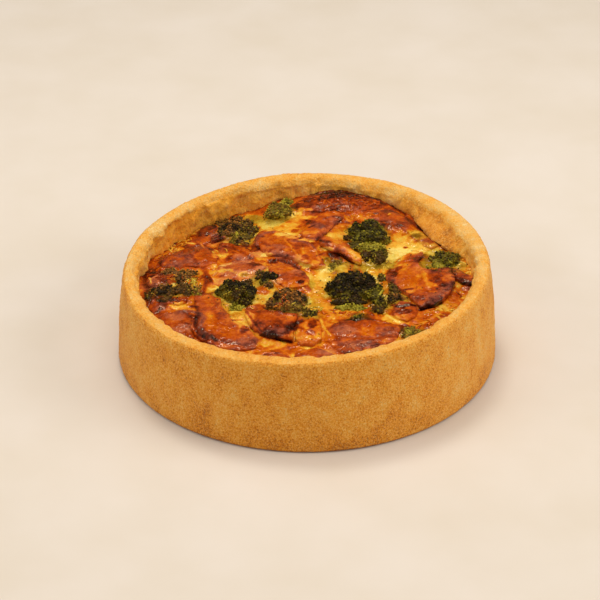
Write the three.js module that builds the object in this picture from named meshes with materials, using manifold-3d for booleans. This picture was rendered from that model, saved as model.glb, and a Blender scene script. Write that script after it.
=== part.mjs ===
// A deep round quiche: a browned shortcrust case filled with set custard, in which broccoli florets and
// thin baked slices lie half sunk. Millimetres, +Z up, -Y is the front.
// The origin is the centre of the underside.
import * as THREE from "three";
import { mergeVertices } from "three/addons/utils/BufferGeometryUtils.js";
import Module from "manifold-3d";

const wasm = await Module();
wasm.setup();

// Driving dimensions of the pastry case.
const CASE = {
  baseRadius: 101.2, // outside, just above the rounded bottom edge
  rimRadius: 96.8, // outside, at the rim: the wall leans in a little
  swell: 0.5, // slow unevenness of the outside
  wall: 7.2, // wall thickness at the rim
  wallSwell: 0.6,
  floor: 6, // bottom crust
  cornerInside: 4, // bevel between the floor and the inside of the wall
  bottomRound: 3,
  rimRound: 2.4,
};
const RIM = { height: 52.1, tilt: 4.3, highSide: rad(32), sag: 0.7, sagSide: rad(104) };
// On the right the inside of the wall slumped while baking and hangs over the filling as a thick lip.
const SLUMP = { at: rad(29), width: rad(17), depth: 12, lipZ: 46.2, under: 0.6, fadeZ: 26, roll: 2.5 };
// At the back left the bare wall is puckered by shallow upright folds.
const FOLDS = { at: rad(128), width: rad(40), depth: 0.9, count: 24 };

// The filling: its level along the wall and at the centre, and the humps baked into its top.
const FILL = { centre: 43.5, radius: 89, wall: 41.2, tilt: 4, highSide: rad(15) };
const BACK_PILE = { at: rad(78), width: rad(20), height: 5.5 };
const LEFT_DIP = { at: rad(135), width: rad(28), height: -5 };
const HUMPS = [
  { at: [16, 75], size: [27, 9], height: 1.8 },
  { at: [-8, 18], size: [24, 24], height: 1.4 },
  { at: [34, -2], size: [12, 14], height: -1.6 },
  { at: [-28, -42], size: [5, 14], height: -1.8 },
];
const BLISTERS = { height: 0.45, pitch: 17 };

const GAP = 0.38; // air kept between pieces that touch
const AROUND = 60; // facets round the case
const RINGS = 8; // rings of facets on top of the custard
const CUSTARD_AROUND = 48; // facets round each of them

// Florets: place on the filling, width and height of the crown, the number of its lobes, and where the
// foot of its stalk lies from its middle.
const FLORETS = [
  { name: "floret_centre", at: [23.5, -15], width: 27, height: 9.5, lobes: 6, lean: [2, -9], hue: "dark" },
  { name: "floret_centre_side", at: [37, -30], width: 9, height: 6, lobes: 2, lean: [-2, -3], hue: "dark" },
  { name: "floret_back_right", at: [34, 41], width: 23, height: 10, lobes: 5, lean: [2, -12], hue: "green" },
  { name: "floret_by_ribbon", at: [38, 20], width: 13, height: 5, lobes: 3, lean: [-2, 2], hue: "dark" },
  { name: "floret_left", at: [-38, -17], width: 19, height: 8.5, lobes: 5, lean: [2, -8], hue: "dark" },
  { name: "floret_left_small", at: [-21, -4], width: 10, height: 6, lobes: 3, lean: [2, -2], hue: "dark" },
  { name: "floret_front", at: [-9, -28], width: 22, height: 7, lobes: 5, lean: [6, -6], hue: "toasted" },
  { name: "floret_front_tail", at: [2, -39], width: 7, height: 3.5, lobes: 2, lean: [1, -2], hue: "green" },
  { name: "floret_far_left", at: [-73, -12], width: 18, height: 5, lobes: 4, lean: [4, 0], hue: "toasted" },
  { name: "floret_left_edge", at: [-65, 2], width: 10, height: 5, lobes: 3, lean: [2, 0], hue: "toasted" },
  { name: "floret_far_back", at: [-40, 57], width: 19, height: 5.5, lobes: 4, lean: [3, -3], hue: "toasted" },
  { name: "floret_low_left", at: [-35, 41], width: 8, height: 4, lobes: 2, lean: [0, -2], hue: "toasted" },
  { name: "floret_back", at: [-15, 70], width: 16, height: 6.5, lobes: 4, lean: [2, -7], hue: "olive" },
  { name: "floret_wall", at: [71, 12], width: 24, height: 5, lobes: 4, lean: [8, -2], hue: "green" },
  { name: "floret_by_slice", at: [46, -25], width: 11, height: 5, lobes: 3, lean: [-2, -2], hue: "toasted" },
  { name: "floret_sunk", at: [15, 11], width: 14, height: 3, lobes: 4, lean: [2, -2], hue: "olive" },
  { name: "floret_front_small", at: [26, -43], width: 8, height: 3.5, lobes: 2, lean: [0, -1], hue: "green" },
  { name: "floret_front_right", at: [53, -58], width: 10, height: 4, lobes: 3, lean: [2, -1], hue: "green" },
];

// A floret's lobes and stalk: radii and the ring they stand on as parts of the crown's width, how deep a
// crown reaches under its shown height, the height of the outer lobes, and the size under which one is plain.
const LOBE = { radius: 0.3, ring: 0.235, depth: 4, outer: 0.8, knobs: 1.12, small: 5.5 };
const KNOBS = 0.045; // relief of a lobe, as a part of its radius
const STALK_RADIUS = 0.17; // as a part of the crown's width
const SUNK = 1.8; // how far a floret reaches below the level of the filling

// Baked slices, the lowest first: corners of the outline, thickness, how far the middle stands over the
// filling, the slope as rise per millimetre along X and Y, the crown, and the side that curls up.
const SLICES = [
  {
    name: "slice_back", thick: 4.5, rise: 1.4, crown: 1.2,
    slope: [0, 0], curl: { toward: 90, height: 0.8 },
    corners: [[-7, 79], [3, 86], [18, 86], [33, 80], [43, 73], [30, 65], [12, 65], [-4, 69]],
  },
  {
    name: "slice_back_right", thick: 4, rise: 1.6, crown: 1,
    slope: [0, 0], curl: { toward: -60, height: 1 },
    corners: [[30, 62], [44, 68], [52, 66], [57, 58], [58, 51], [53, 47], [46, 53], [36, 57]],
  },
  {
    name: "stem_back_right", thick: 3.5, rise: 1.6, crown: 0.8,
    slope: [0, 0], curl: { toward: 30, height: 0.4 },
    corners: [[57, 45], [61, 45], [67, 36], [72, 29], [67, 26], [61, 34]],
  },
  {
    name: "slice_front_right_broad", thick: 4, rise: 1.3, crown: 0.8,
    slope: [0, 0.01], curl: { toward: -90, height: 0.6 },
    corners: [[12, -50], [21, -45], [36, -46], [47, -52], [46, -62], [35, -70], [17, -74], [11, -63]],
  },
  {
    name: "slice_front_edge_right", thick: 4, rise: 1.2, crown: 0.8,
    slope: [0, 0], curl: { toward: 60, height: 0.6 },
    corners: [[-6, -71], [6, -70], [15, -77], [27, -76], [26, -82], [8, -86], [-4, -84]],
  },
  {
    name: "slice_front_edge_left", thick: 4, rise: 1.2, crown: 0.8,
    slope: [0, 0], curl: { toward: 90, height: 0.6 },
    corners: [[-26, -74], [-14, -72], [-8, -76], [-9, -84], [-22, -83], [-30, -79]],
  },
  {
    name: "slice_left_lump", thick: 6, rise: 2.6, crown: 2.2,
    slope: [0, 0], curl: { toward: 100, height: 0.8 },
    corners: [[-81, 19], [-76, 31], [-68, 37], [-58, 41], [-50, 31], [-48, 18], [-56, 12], [-70, 17]],
  },
  {
    name: "slice_left_chunk", thick: 5, rise: 2, crown: 1,
    slope: [0, 0], curl: { toward: 90, height: 0.4 },
    corners: [[-83, 8], [-77, 7], [-74, 0], [-77, -3], [-84, -3]],
  },
  {
    name: "slice_front_left_low", thick: 5, rise: 1.6, crown: 1.2,
    slope: [0.02, 0], curl: { toward: -120, height: 0.8 },
    corners: [[-77, -33], [-69, -30], [-61, -33], [-58, -46], [-58, -58], [-66, -52], [-74, -43]],
  },
  {
    name: "slice_front_left_arc", thick: 3.5, rise: 1.8, crown: 0.6,
    slope: [0, 0.03], curl: { toward: 90, height: 1 },
    corners: [[-84, -23], [-79, -16], [-70, -16], [-61, -20], [-68, -24], [-76, -24], [-80, -29]],
  },
  {
    name: "slice_dark_back_left", thick: 4, rise: 2, crown: 0.8,
    slope: [0, 0], curl: { toward: 120, height: 0.6 },
    corners: [[-69, 46], [-60, 52], [-52, 56], [-50, 48], [-57, 43], [-65, 41]],
  },
  {
    name: "slice_red_back_left", thick: 4, rise: 2.4, crown: 0.8,
    slope: [0, 0], curl: { toward: 60, height: 1 },
    corners: [[-61, 59], [-56, 65], [-50, 63], [-51, 56], [-57, 54]],
  },
  {
    name: "slice_brown_arch", thick: 3, rise: 2.6, crown: 1.2,
    slope: [0, -0.05], curl: { toward: -90, height: 0.8 },
    corners: [[-53, 43], [-52, 50], [-46, 55], [-38, 54], [-37, 50], [-44, 49], [-48, 43]],
  },
  {
    name: "slice_glossy_strip", thick: 3.5, rise: 2.2, crown: 1,
    slope: [0, 0.04], curl: { toward: 50, height: 0.8 },
    corners: [[-49, 39], [-41, 37], [-33, 29], [-27, 19], [-31, 15], [-38, 18], [-46, 27]],
  },
  {
    name: "slice_left_of_centre", thick: 4, rise: 1.6, crown: 1,
    slope: [0, 0.02], curl: { toward: 90, height: 0.6 },
    corners: [[-44, 14], [-36, 14], [-28, 12], [-22, 8], [-26, 2], [-36, 1], [-43, 6]],
  },
  {
    name: "slice_lower_centre", thick: 4, rise: 2, crown: 1.2,
    slope: [0, 0.03], curl: { toward: -60, height: 1.2 },
    corners: [[-20, 8], [-12, 9], [-5, 5], [0, -2], [1, -12], [-5, -15], [-12, -13], [-18, -6]],
  },
  {
    name: "slice_centre", thick: 5, rise: 3, crown: 1.6,
    slope: [0.01, 0.03], curl: { toward: -70, height: 1.4 },
    corners: [
      [-28, 36], [-26, 47], [-20, 48], [-10, 40], [0, 31],
      [6, 17], [9, 4], [0, 6], [-10, 14], [-21, 20],
    ],
  },
  {
    name: "slice_back_fold", thick: 4.5, rise: 2.2, crown: 1.2,
    slope: [0, 0.04], curl: { toward: 120, height: 1.2 },
    corners: [[-4, 38], [1, 50], [7, 59], [13, 63], [21, 60], [16, 52], [11, 44], [5, 33]],
  },
  {
    name: "slice_ribbon", thick: 3, rise: 3.4, crown: 1.6,
    slope: [0, 0.02], curl: { toward: -135, height: 1.6 },
    corners: [[6, 31], [12, 36], [20, 31], [25, 23], [31, 12], [27, 9], [20, 18], [12, 23]],
  },
  {
    name: "slice_front_left", thick: 4.5, rise: 2.2, crown: 1.2,
    slope: [-0.02, 0], curl: { toward: -170, height: 1.6 },
    corners: [
      [-58, -19], [-47, -20], [-45, -29], [-38, -42], [-28, -53],
      [-25, -66], [-36, -69], [-50, -62], [-59, -50], [-57, -34],
    ],
  },
  {
    name: "slice_front_knob", thick: 5, rise: 2.4, crown: 1.8,
    slope: [0, 0], curl: { toward: 90, height: 0.6 },
    corners: [[-6, -58], [-4, -49], [0, -44], [5, -45], [7, -53], [7, -61], [3, -67], [-4, -66]],
  },
  {
    name: "slice_front_centre", thick: 4, rise: 2.4, crown: 1.2,
    slope: [0.01, -0.02], curl: { toward: -60, height: 1.4 },
    corners: [[-33, -31], [-25, -33], [-16, -38], [-4, -41], [-7, -49], [-8, -63], [-18, -60], [-26, -52]],
  },
  {
    name: "slice_right_knob", thick: 4.5, rise: 2.2, crown: 1.4,
    slope: [0, 0], curl: { toward: 90, height: 0.8 },
    corners: [[44, -35], [47, -30], [56, -31], [57, -38], [52, -47], [46, -44]],
  },
  {
    name: "slice_right_strip", thick: 3.5, rise: 2.6, crown: 0.8,
    slope: [0.02, 0], curl: { toward: -30, height: 0.8 },
    corners: [[75, 2], [82, -1], [88, -8], [88, -15], [83, -14], [78, -8]],
  },
  {
    name: "slice_right", thick: 4.5, rise: 3, crown: 1.8,
    slope: [0.02, 0.01], curl: { toward: -50, height: 1.6 },
    corners: [[42, -3], [51, 15], [58, 22], [67, 17], [75, 4], [77, -17], [62, -36], [52, -22]],
  },
];
const SLICE_STEP = 7.5; // spacing of the points along a slice's outline
const SLICE_INNER = 0.6; // size of the inner ring of points on its top
const EDGE_THIN = 0.6; // a slice's thickness at its edge over that in its middle
const RIPPLE = { height: 0.35, pitch: 4.5 };

const COLOURS = {
  pastry: 0xc88a40, custard: 0xe6c062, slice: 0xb4501e, stem: 0x8a7a30,
  dark: 0x2c3014, green: 0x5d7326, toasted: 0x5a4420, olive: 0x75802c,
};

function rad(degrees) {
  return (degrees * Math.PI) / 180;
}

function bump(distance, width, power = 2) {
  return Math.exp(-(Math.abs(distance / width) ** power));
}

function turnFrom(angle, other) {
  return Math.atan2(Math.sin(angle - other), Math.cos(angle - other));
}

function blend(low, high, value) {
  return THREE.MathUtils.smoothstep(value, low, high);
}

// The pastry case as functions of the azimuth and the height.
function rimHeight(az) {
  return RIM.height + RIM.tilt * Math.cos(az - RIM.highSide) + RIM.sag * Math.cos(2 * (az - RIM.sagSide));
}

function outerRadius(az, z) {
  const lean = (CASE.baseRadius - CASE.rimRadius) * (z / RIM.height) ** 2;
  return CASE.baseRadius - lean + CASE.swell * Math.sin(2 * az + 1);
}

function slump(az, z) {
  const across = bump(turnFrom(az, SLUMP.at), SLUMP.width, 3);
  const over = (rimHeight(az) - z) / (rimHeight(az) - SLUMP.lipZ);
  const below = SLUMP.under + (1 - SLUMP.under) * bump(z - SLUMP.lipZ, SLUMP.roll);
  const along = z > SLUMP.lipZ ? Math.max(0, over) : below * blend(SLUMP.fadeZ, SLUMP.lipZ, z);
  return SLUMP.depth * across * along;
}

function innerRadius(az, z) {
  const wall = CASE.wall + CASE.wallSwell * Math.sin(5 * az + 2) * Math.cos(2 * az);
  const folds = FOLDS.depth * bump(turnFrom(az, FOLDS.at), FOLDS.width, 4) * Math.sin(FOLDS.count * az);
  return outerRadius(az, rimHeight(az)) - wall - slump(az, z) - folds * bump(z - SLUMP.lipZ, 12);
}

// The inside of the case from the floor up to where the rim starts to round, as [radius, height].
const WALL_ROWS = [0.6, 0.8, 0.87, 0.93, 1].map((part) => (az) => {
  const z = part * (rimHeight(az) - CASE.rimRound);
  return [innerRadius(az, z), z];
});
const cornerZ = CASE.floor + CASE.cornerInside;
const INSIDE_ROWS = [
  (az) => [innerRadius(az, cornerZ) - CASE.cornerInside, CASE.floor],
  (az) => [innerRadius(az, cornerZ), cornerZ],
  ...WALL_ROWS,
];

// A closed body of rows of points round the axis, from its lowest point on the axis to its last one.
function revolve(startZ, rows, endZ, around = AROUND) {
  const points = [0, 0, startZ];
  for (const row of rows) {
    for (let i = 0; i < around; i++) {
      const az = (2 * Math.PI * i) / around;
      const [r, z] = row(az);
      points.push(r * Math.cos(az), r * Math.sin(az), z);
    }
  }
  points.push(0, 0, endZ);
  const last = points.length / 3 - 1;
  const faces = [];
  for (let i = 0; i < around; i++) {
    const next = (i + 1) % around;
    faces.push(0, 1 + next, 1 + i, last, last - around + i, last - around + next);
    for (let row = 0; row < rows.length - 1; row++) {
      const [a, b] = [1 + row * around + i, 1 + row * around + next];
      const [c, d] = [a + around, b + around];
      // The same diagonal whether the rows go up or down, so that a body and its lining have parallel facets.
      const rising = points[3 * a + 2] < points[3 * c + 2];
      faces.push(...(rising ? [a, b, d, a, d, c] : [a, b, c, b, d, c]));
    }
  }
  return closedGeometry(points, faces);
}

function closedGeometry(points, faces) {
  const geometry = new THREE.BufferGeometry();
  geometry.setAttribute("position", new THREE.Float32BufferAttribute(points, 3));
  geometry.setIndex(faces);
  return geometry;
}

function toSolid(geometry) {
  const bare = geometry.clone();
  bare.deleteAttribute("normal");
  bare.deleteAttribute("uv");
  const merged = mergeVertices(bare, 1e-3);
  const mesh = new wasm.Mesh({
    numProp: 3,
    vertProperties: new Float32Array(merged.attributes.position.array),
    triVerts: new Uint32Array(merged.index.array),
  });
  return new wasm.Manifold(mesh);
}

function toGeometry(solid) {
  const mesh = solid.getMesh();
  return closedGeometry(Array.from(mesh.vertProperties), Array.from(mesh.triVerts));
}

// The largest body of a solid, without the scraps that a cut leaves.
function largest(solid) {
  return solid.decompose().reduce((best, body) => (body.volume() > best.volume() ? body : best));
}

function caseGeometry() {
  const { bottomRound: low, rimRound: round } = CASE;
  const base = (az) => outerRadius(az, low);
  const outer = (az) => outerRadius(az, rimHeight(az));
  const inner = (az) => innerRadius(az, rimHeight(az));
  return revolve(
    0,
    [
      (az) => [base(az) - low, 0],
      (az) => [base(az) - low * 0.3, low * 0.3],
      (az) => [base(az), low],
      ...[0.36, 0.7].map((part) => (az) => [outerRadius(az, part * rimHeight(az)), part * rimHeight(az)]),
      (az) => [outer(az), rimHeight(az) - round],
      (az) => [outer(az) - round * 0.3, rimHeight(az) - round * 0.3],
      (az) => [outer(az) - round, rimHeight(az)],
      (az) => [inner(az) + round * 0.7, rimHeight(az)],
      (az) => [inner(az) + round * 0.2, rimHeight(az) - round * 0.4],
      ...INSIDE_ROWS.toReversed(),
    ],
    CASE.floor,
  );
}

// What the case can hold, clear of its walls by the gap and open upwards.
function insideSolid(openZ) {
  const clear = (row) => (az) => {
    const [r, z] = row(az);
    return [r - GAP, z + (z === CASE.floor ? GAP : 0)];
  };
  const rows = INSIDE_ROWS.map(clear);
  const top = rows.at(-1);
  return toSolid(revolve(CASE.floor + GAP, [...rows, (az) => [top(az)[0], openZ]], openZ));
}

// The level of the filling with its humps, and its top with the small baked blisters.
function fillLevel(x, y) {
  const az = Math.atan2(y, x);
  const out = Math.min(1, Math.hypot(x, y) / FILL.radius);
  const heaped = [BACK_PILE, LEFT_DIP].map(({ at, width, height }) => height * bump(turnFrom(az, at), width));
  const wall = FILL.wall + FILL.tilt * Math.cos(az - FILL.highSide) + heaped[0] + heaped[1];
  const smooth = FILL.centre + (wall - FILL.centre) * out ** 2;
  return HUMPS.reduce((level, { at, size, height }) => {
    return level + height * bump(Math.hypot((x - at[0]) / size[0], (y - at[1]) / size[1]), 1);
  }, smooth);
}

function custardTop(x, y) {
  const { height, pitch } = BLISTERS;
  const along = Math.sin((5 * x) / pitch + Math.sin((3 * y) / pitch));
  const across = Math.sin((4 * y) / pitch + 2 * Math.sin((2 * x) / pitch));
  return fillLevel(x, y) + height * (along + across);
}

function custardSolid(inside) {
  const radius = FILL.radius + 9;
  const ring = (part) => (az) => {
    const [x, y] = [part * radius * Math.cos(az), part * radius * Math.sin(az)];
    return [part * radius, custardTop(x, y)];
  };
  const parts = Array.from({ length: RINGS }, (_, i) => 1 - i / RINGS);
  const block = revolve(0, [() => [radius, 0], ...parts.map(ring)], custardTop(0, 0), CUSTARD_AROUND);
  return toSolid(block).intersect(inside);
}

// A bumpy ball: one lobe of a floret's crown.
function lobeSolid(radius, height, place, seed) {
  const ball = radius > LOBE.small ? new THREE.IcosahedronGeometry(1, 1) : new THREE.SphereGeometry(1, 7, 4);
  const position = ball.attributes.position;
  for (let i = 0; i < position.count; i++) {
    const p = new THREE.Vector3().fromBufferAttribute(position, i);
    const knobs = 2 * Math.sin(5 * p.x + seed) * Math.cos(5 * p.y - seed) + Math.sin(9 * p.z + seed);
    p.multiply(new THREE.Vector3(radius, radius, height).multiplyScalar(1 + KNOBS * knobs));
    position.setXYZ(i, p.x + place[0], p.y + place[1], p.z + place[2]);
  }
  return toSolid(ball);
}

// A stalk that leans from the crown into the filling.
function stalkSolid(radius, from, to) {
  const [start, end] = [new THREE.Vector3(...from), new THREE.Vector3(...to)];
  const along = end.clone().sub(start);
  const stalk = new THREE.CylinderGeometry(radius, radius * 0.7, along.length(), 7);
  const down = new THREE.Vector3(0, -1, 0);
  stalk.applyQuaternion(new THREE.Quaternion().setFromUnitVectors(down, along.clone().normalize()));
  stalk.translate(...start.clone().add(end).multiplyScalar(0.5).toArray());
  return toSolid(stalk);
}

// The lobes of a floret's crown as balls in plan, and the foot of its stalk: [x, y, radius], from its middle.
function lobesOf(spec) {
  const ringed = spec.lobes > 3 ? spec.lobes - 1 : spec.lobes;
  const reach = spec.width * LOBE.ring * (spec.lobes > 2 ? 1 : 0.7);
  const lobes = Array.from({ length: ringed }, (_, i) => {
    const turn = (2 * Math.PI * i) / ringed + spec.at[0];
    const size = 1 + 0.12 * Math.sin(3 * i + spec.at[1]);
    const at = [reach * Math.cos(turn), reach * Math.sin(turn)];
    return { at, radius: spec.width * LOBE.radius * size, top: false };
  });
  return spec.lobes > 3 ? [{ at: [0, 0], radius: spec.width * LOBE.radius, top: true }, ...lobes] : lobes;
}

// The plug that a floret fills in plan: an upright prism round its lobes and the foot of its stalk.
function plugSolid(spec, margin) {
  const [x, y] = spec.at;
  const discs = lobesOf(spec).map(({ at, radius }) => [...at, radius * LOBE.knobs]);
  discs.push([...spec.lean, spec.width * STALK_RADIUS]);
  const facets = 6 + 2 * spec.lobes;
  const reach = (turn) => {
    const [dx, dy] = [Math.cos(turn), Math.sin(turn)];
    const exits = discs.map(([cx, cy, radius]) => {
      const aside = cx * dy - cy * dx;
      return cx * dx + cy * dy + Math.sqrt(Math.max(0, radius ** 2 - aside ** 2));
    });
    return Math.max(...exits);
  };
  const level = fillLevel(x, y);
  const side = (z) => (turn) => [reach(turn) + margin, z];
  const [low, high] = [level - SUNK - margin, level + spec.height + LOBE.depth];
  return toSolid(revolve(low, [side(low), side(high)], high, facets).translate(x, y, 0));
}

function floretSolid(spec) {
  const [x, y] = spec.at;
  const level = fillLevel(x, y);
  const high = (spec.height + LOBE.depth) / 2;
  const centreZ = level + spec.height - high;
  const lobes = lobesOf(spec).map(({ at, radius, top }, i) => {
    const height = top ? high : high * LOBE.outer;
    const place = [x + at[0], y + at[1], top ? centreZ : centreZ - high * (1 - LOBE.outer)];
    return lobeSolid(radius, height, place, x + i);
  });
  const foot = [x + spec.lean[0], y + spec.lean[1], level - LOBE.depth];
  lobes.push(stalkSolid(spec.width * STALK_RADIUS, [x, y, centreZ], foot));
  return lobes.reduce((whole, lobe) => whole.add(lobe)).intersect(plugSolid(spec, 0));
}

// A slice's outline, anticlockwise: a smooth closed curve through its corners, moved out by a margin.
function outlineOf(corners, margin) {
  const clockwise = THREE.ShapeUtils.isClockWise(corners.map(([x, y]) => new THREE.Vector2(x, y)));
  const round = clockwise ? corners.toReversed() : corners;
  const points = round.map(([x, y]) => new THREE.Vector3(x, y, 0));
  const curve = new THREE.CatmullRomCurve3(points, true, "centripetal");
  const count = Math.max(9, Math.round(curve.getLength() / SLICE_STEP));
  return Array.from({ length: count }, (_, i) => {
    const point = curve.getPointAt(i / count);
    const along = curve.getTangentAt(i / count);
    return [point.x + along.y * margin, point.y - along.x * margin];
  });
}

// The top of a slice at a place that lies the given part of the way out from its middle.
function sliceTop(spec, centre, x, y, out) {
  const [dx, dy] = [x - centre[0], y - centre[1]];
  const toward = rad(spec.curl.toward);
  const reach = (dx * Math.cos(toward) + dy * Math.sin(toward)) / (Math.hypot(dx, dy) + 1e-6);
  const curl = spec.curl.height * (Math.max(0, reach) * out) ** 2;
  const ripple = Math.sin(x / RIPPLE.pitch + spec.thick) * Math.sin(y / RIPPLE.pitch + spec.rise);
  const lie = spec.rise + spec.slope[0] * dx + spec.slope[1] * dy + spec.crown * (0.5 - out ** 2);
  return fillLevel(x, y) + lie + curl + RIPPLE.height * ripple;
}

function sliceSolid(spec, grow = 0) {
  const plain = outlineOf(spec.corners, 0);
  const wide = outlineOf(spec.corners, grow * 1.3);
  const n = plain.length;
  const centre = [0, 1].map((k) => plain.reduce((sum, point) => sum + point[k], 0) / n);
  const top = (x, y, out) => sliceTop(spec, centre, x, y, out) + grow;
  const inner = plain.map((edge) => [0, 1].map((k) => centre[k] + SLICE_INNER * (edge[k] - centre[k])));
  const points = [
    ...wide.map(([x, y]) => [x, y, top(x, y, 1)]),
    ...inner.map(([x, y]) => [x, y, top(x, y, SLICE_INNER)]),
    [...centre, top(...centre, 0)],
    ...wide.map(([x, y]) => [x, y, top(x, y, 1) - spec.thick * EDGE_THIN - 2 * grow]),
    [...centre, top(...centre, 0) - spec.thick - 2 * grow],
  ];
  const [middle, below] = [2 * n, 2 * n + 1];
  const faces = [];
  for (let i = 0; i < n; i++) {
    const next = (i + 1) % n;
    faces.push(i, next, n + next, i, n + next, n + i, n + i, n + next, middle);
    faces.push(below + next, below + i, below + n);
    faces.push(i, below + i, below + next, i, below + next, next);
  }
  return toSolid(closedGeometry(points.flat(), faces));
}

// Every topping as drawn and with a margin of air. Where two meet, the upper one, later in the list,
// stays whole.
function layToppings(inside) {
  const laid = [
    ...SLICES.map((spec) => {
      const colour = spec.name.startsWith("stem") ? COLOURS.stem : COLOURS.slice;
      return { name: spec.name, colour, solid: sliceSolid(spec), grown: sliceSolid(spec, GAP) };
    }),
    ...FLORETS.map((spec) => {
      const colour = COLOURS[spec.hue];
      return { name: spec.name, colour, solid: floretSolid(spec), grown: plugSolid(spec, GAP) };
    }),
  ];
  laid.forEach((lower, i) => {
    lower.solid = lower.solid.intersect(inside);
    for (const upper of laid.slice(i + 1)) {
      lower.solid = lower.solid.subtract(upper.grown);
    }
    lower.solid = largest(lower.solid);
  });
  return laid;
}

const group = new THREE.Group();

function addPiece(name, geometry, color, roughness) {
  const material = new THREE.MeshStandardMaterial({ color, roughness, metalness: 0, flatShading: true });
  const mesh = new THREE.Mesh(geometry, material);
  mesh.name = name;
  group.add(mesh);
}

const OPEN_Z = 80;
const inside = insideSolid(OPEN_Z);
const toppings = layToppings(inside);
const custard = toppings.reduce((rest, { grown }) => rest.subtract(grown), custardSolid(inside));

addPiece("pastry_case", caseGeometry(), COLOURS.pastry, 0.85);
addPiece("custard", toGeometry(largest(custard)), COLOURS.custard, 0.45);
for (const { name, colour, solid } of toppings) {
  addPiece(name, toGeometry(solid), colour, 0.5);
}

export default group;
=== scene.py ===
"""A deep round quiche: a browned shortcrust case with set custard, baked slices and broccoli florets.

Lengths in this file are millimetres in the part's own frame (+Z up, -Y the front), and the meshes are
made in metres.
"""
import math

import bmesh
import bpy
import numpy as np
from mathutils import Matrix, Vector
from mathutils.bvhtree import BVHTree
from mathutils.kdtree import KDTree


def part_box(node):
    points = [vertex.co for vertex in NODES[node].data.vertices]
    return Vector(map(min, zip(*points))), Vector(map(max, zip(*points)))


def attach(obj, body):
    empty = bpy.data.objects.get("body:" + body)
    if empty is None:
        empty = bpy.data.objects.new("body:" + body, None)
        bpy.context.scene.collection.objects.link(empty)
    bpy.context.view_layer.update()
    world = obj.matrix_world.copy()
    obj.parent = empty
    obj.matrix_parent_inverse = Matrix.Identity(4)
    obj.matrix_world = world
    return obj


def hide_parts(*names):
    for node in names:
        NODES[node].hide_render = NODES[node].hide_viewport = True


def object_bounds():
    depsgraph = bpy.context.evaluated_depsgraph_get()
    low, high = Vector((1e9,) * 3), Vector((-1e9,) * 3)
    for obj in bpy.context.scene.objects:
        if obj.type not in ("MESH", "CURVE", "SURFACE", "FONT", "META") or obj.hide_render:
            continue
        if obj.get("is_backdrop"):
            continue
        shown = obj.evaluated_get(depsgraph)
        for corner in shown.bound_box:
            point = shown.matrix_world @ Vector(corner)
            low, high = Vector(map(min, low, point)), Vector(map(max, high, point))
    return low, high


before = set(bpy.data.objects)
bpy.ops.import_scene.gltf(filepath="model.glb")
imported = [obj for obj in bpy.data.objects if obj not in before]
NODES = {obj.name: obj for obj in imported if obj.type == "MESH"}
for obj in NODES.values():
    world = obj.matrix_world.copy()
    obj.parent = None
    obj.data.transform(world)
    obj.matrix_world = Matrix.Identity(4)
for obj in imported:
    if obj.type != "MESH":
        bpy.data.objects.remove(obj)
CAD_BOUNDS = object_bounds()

MM = 0.001
ROOT = "root"
LOW, HIGH = (np.array(corner) / MM for corner in CAD_BOUNDS)
BOX_GAP = 0.002  # by which every point stays inside the CAD box
SEEDS = {"florets": 300, "small": 77, "bunches": 55, "buds": 99}

# --- The part's driving values, as its source has them, in millimetres ---
BASE_RADIUS, RIM_RADIUS, SWELL = 101.2, 96.8, 0.5
WALL, WALL_SWELL, FLOOR, CORNER_INSIDE = 7.2, 0.6, 6.0, 4.0
RIM = {"height": 52.1, "tilt": 4.3, "side": math.radians(32), "sag": 0.7, "sag_side": math.radians(104),
       "lift": 1.2, "lift_side": 103, "lift_width": 20}
SLUMP = {"at": math.radians(29), "width": math.radians(17), "depth": 12, "lip": 46.2, "under": 0.6,
         "fade": 26, "roll": 2.5}
FOLDS = {"at": 132, "width": 46, "depth": 0.9, "count": 24}
FILL = {"centre": 43.5, "radius": 89, "wall": 41.2, "tilt": 4, "side": math.radians(15)}
# Swellings round the pie: at an angle and of a width in degrees, and out or up by.
LEANS = [(-122, 40, -1.7), (-18, 12, 0.9), (17, 7, -1.2), (35, 8, 1.3)]
HEAPS = [(78, 20, 5.5), (135, 28, -5)]
# Humps and hollows of the filling: place, half widths and height.
HUMPS = [((16, 75), (27, 9), 1.8), ((-8, 18), (24, 24), 1.4), ((34, -2), (12, 14), -1.6),
         ((-28, -42), (5, 14), -1.8)]

# --- What the visual model adds to them ---
BOTTOM_ROUND, RIM_ROUND = 1.8, 1.9  # radius of the case's foot and of its rim's outer edge
SPREADS = [(62, 24, 1.1), (116, 12, -0.6), (152, 14, 0.8), (205, 25, -0.5)]  # swellings of the rim
# Where the baked top has sunk below the solids: place, half width and depth.
SETTLED = [((10, 92), 26, 1.2), ((-68, 46), 15, 1.1), ((-88, 10), 12, 0.9), ((-36, 76), 12, 0.8)]

# --- The camera ---
CAMERA_AT = (-3.73, -914.63, 584.22)
CAMERA_PITCH = 31.28  # degrees below the horizon
CAMERA_LENS, CAMERA_SENSOR = 120, 36
READ_LEVEL = 44.5  # the level at which the places of spots and strokes below were read

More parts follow.
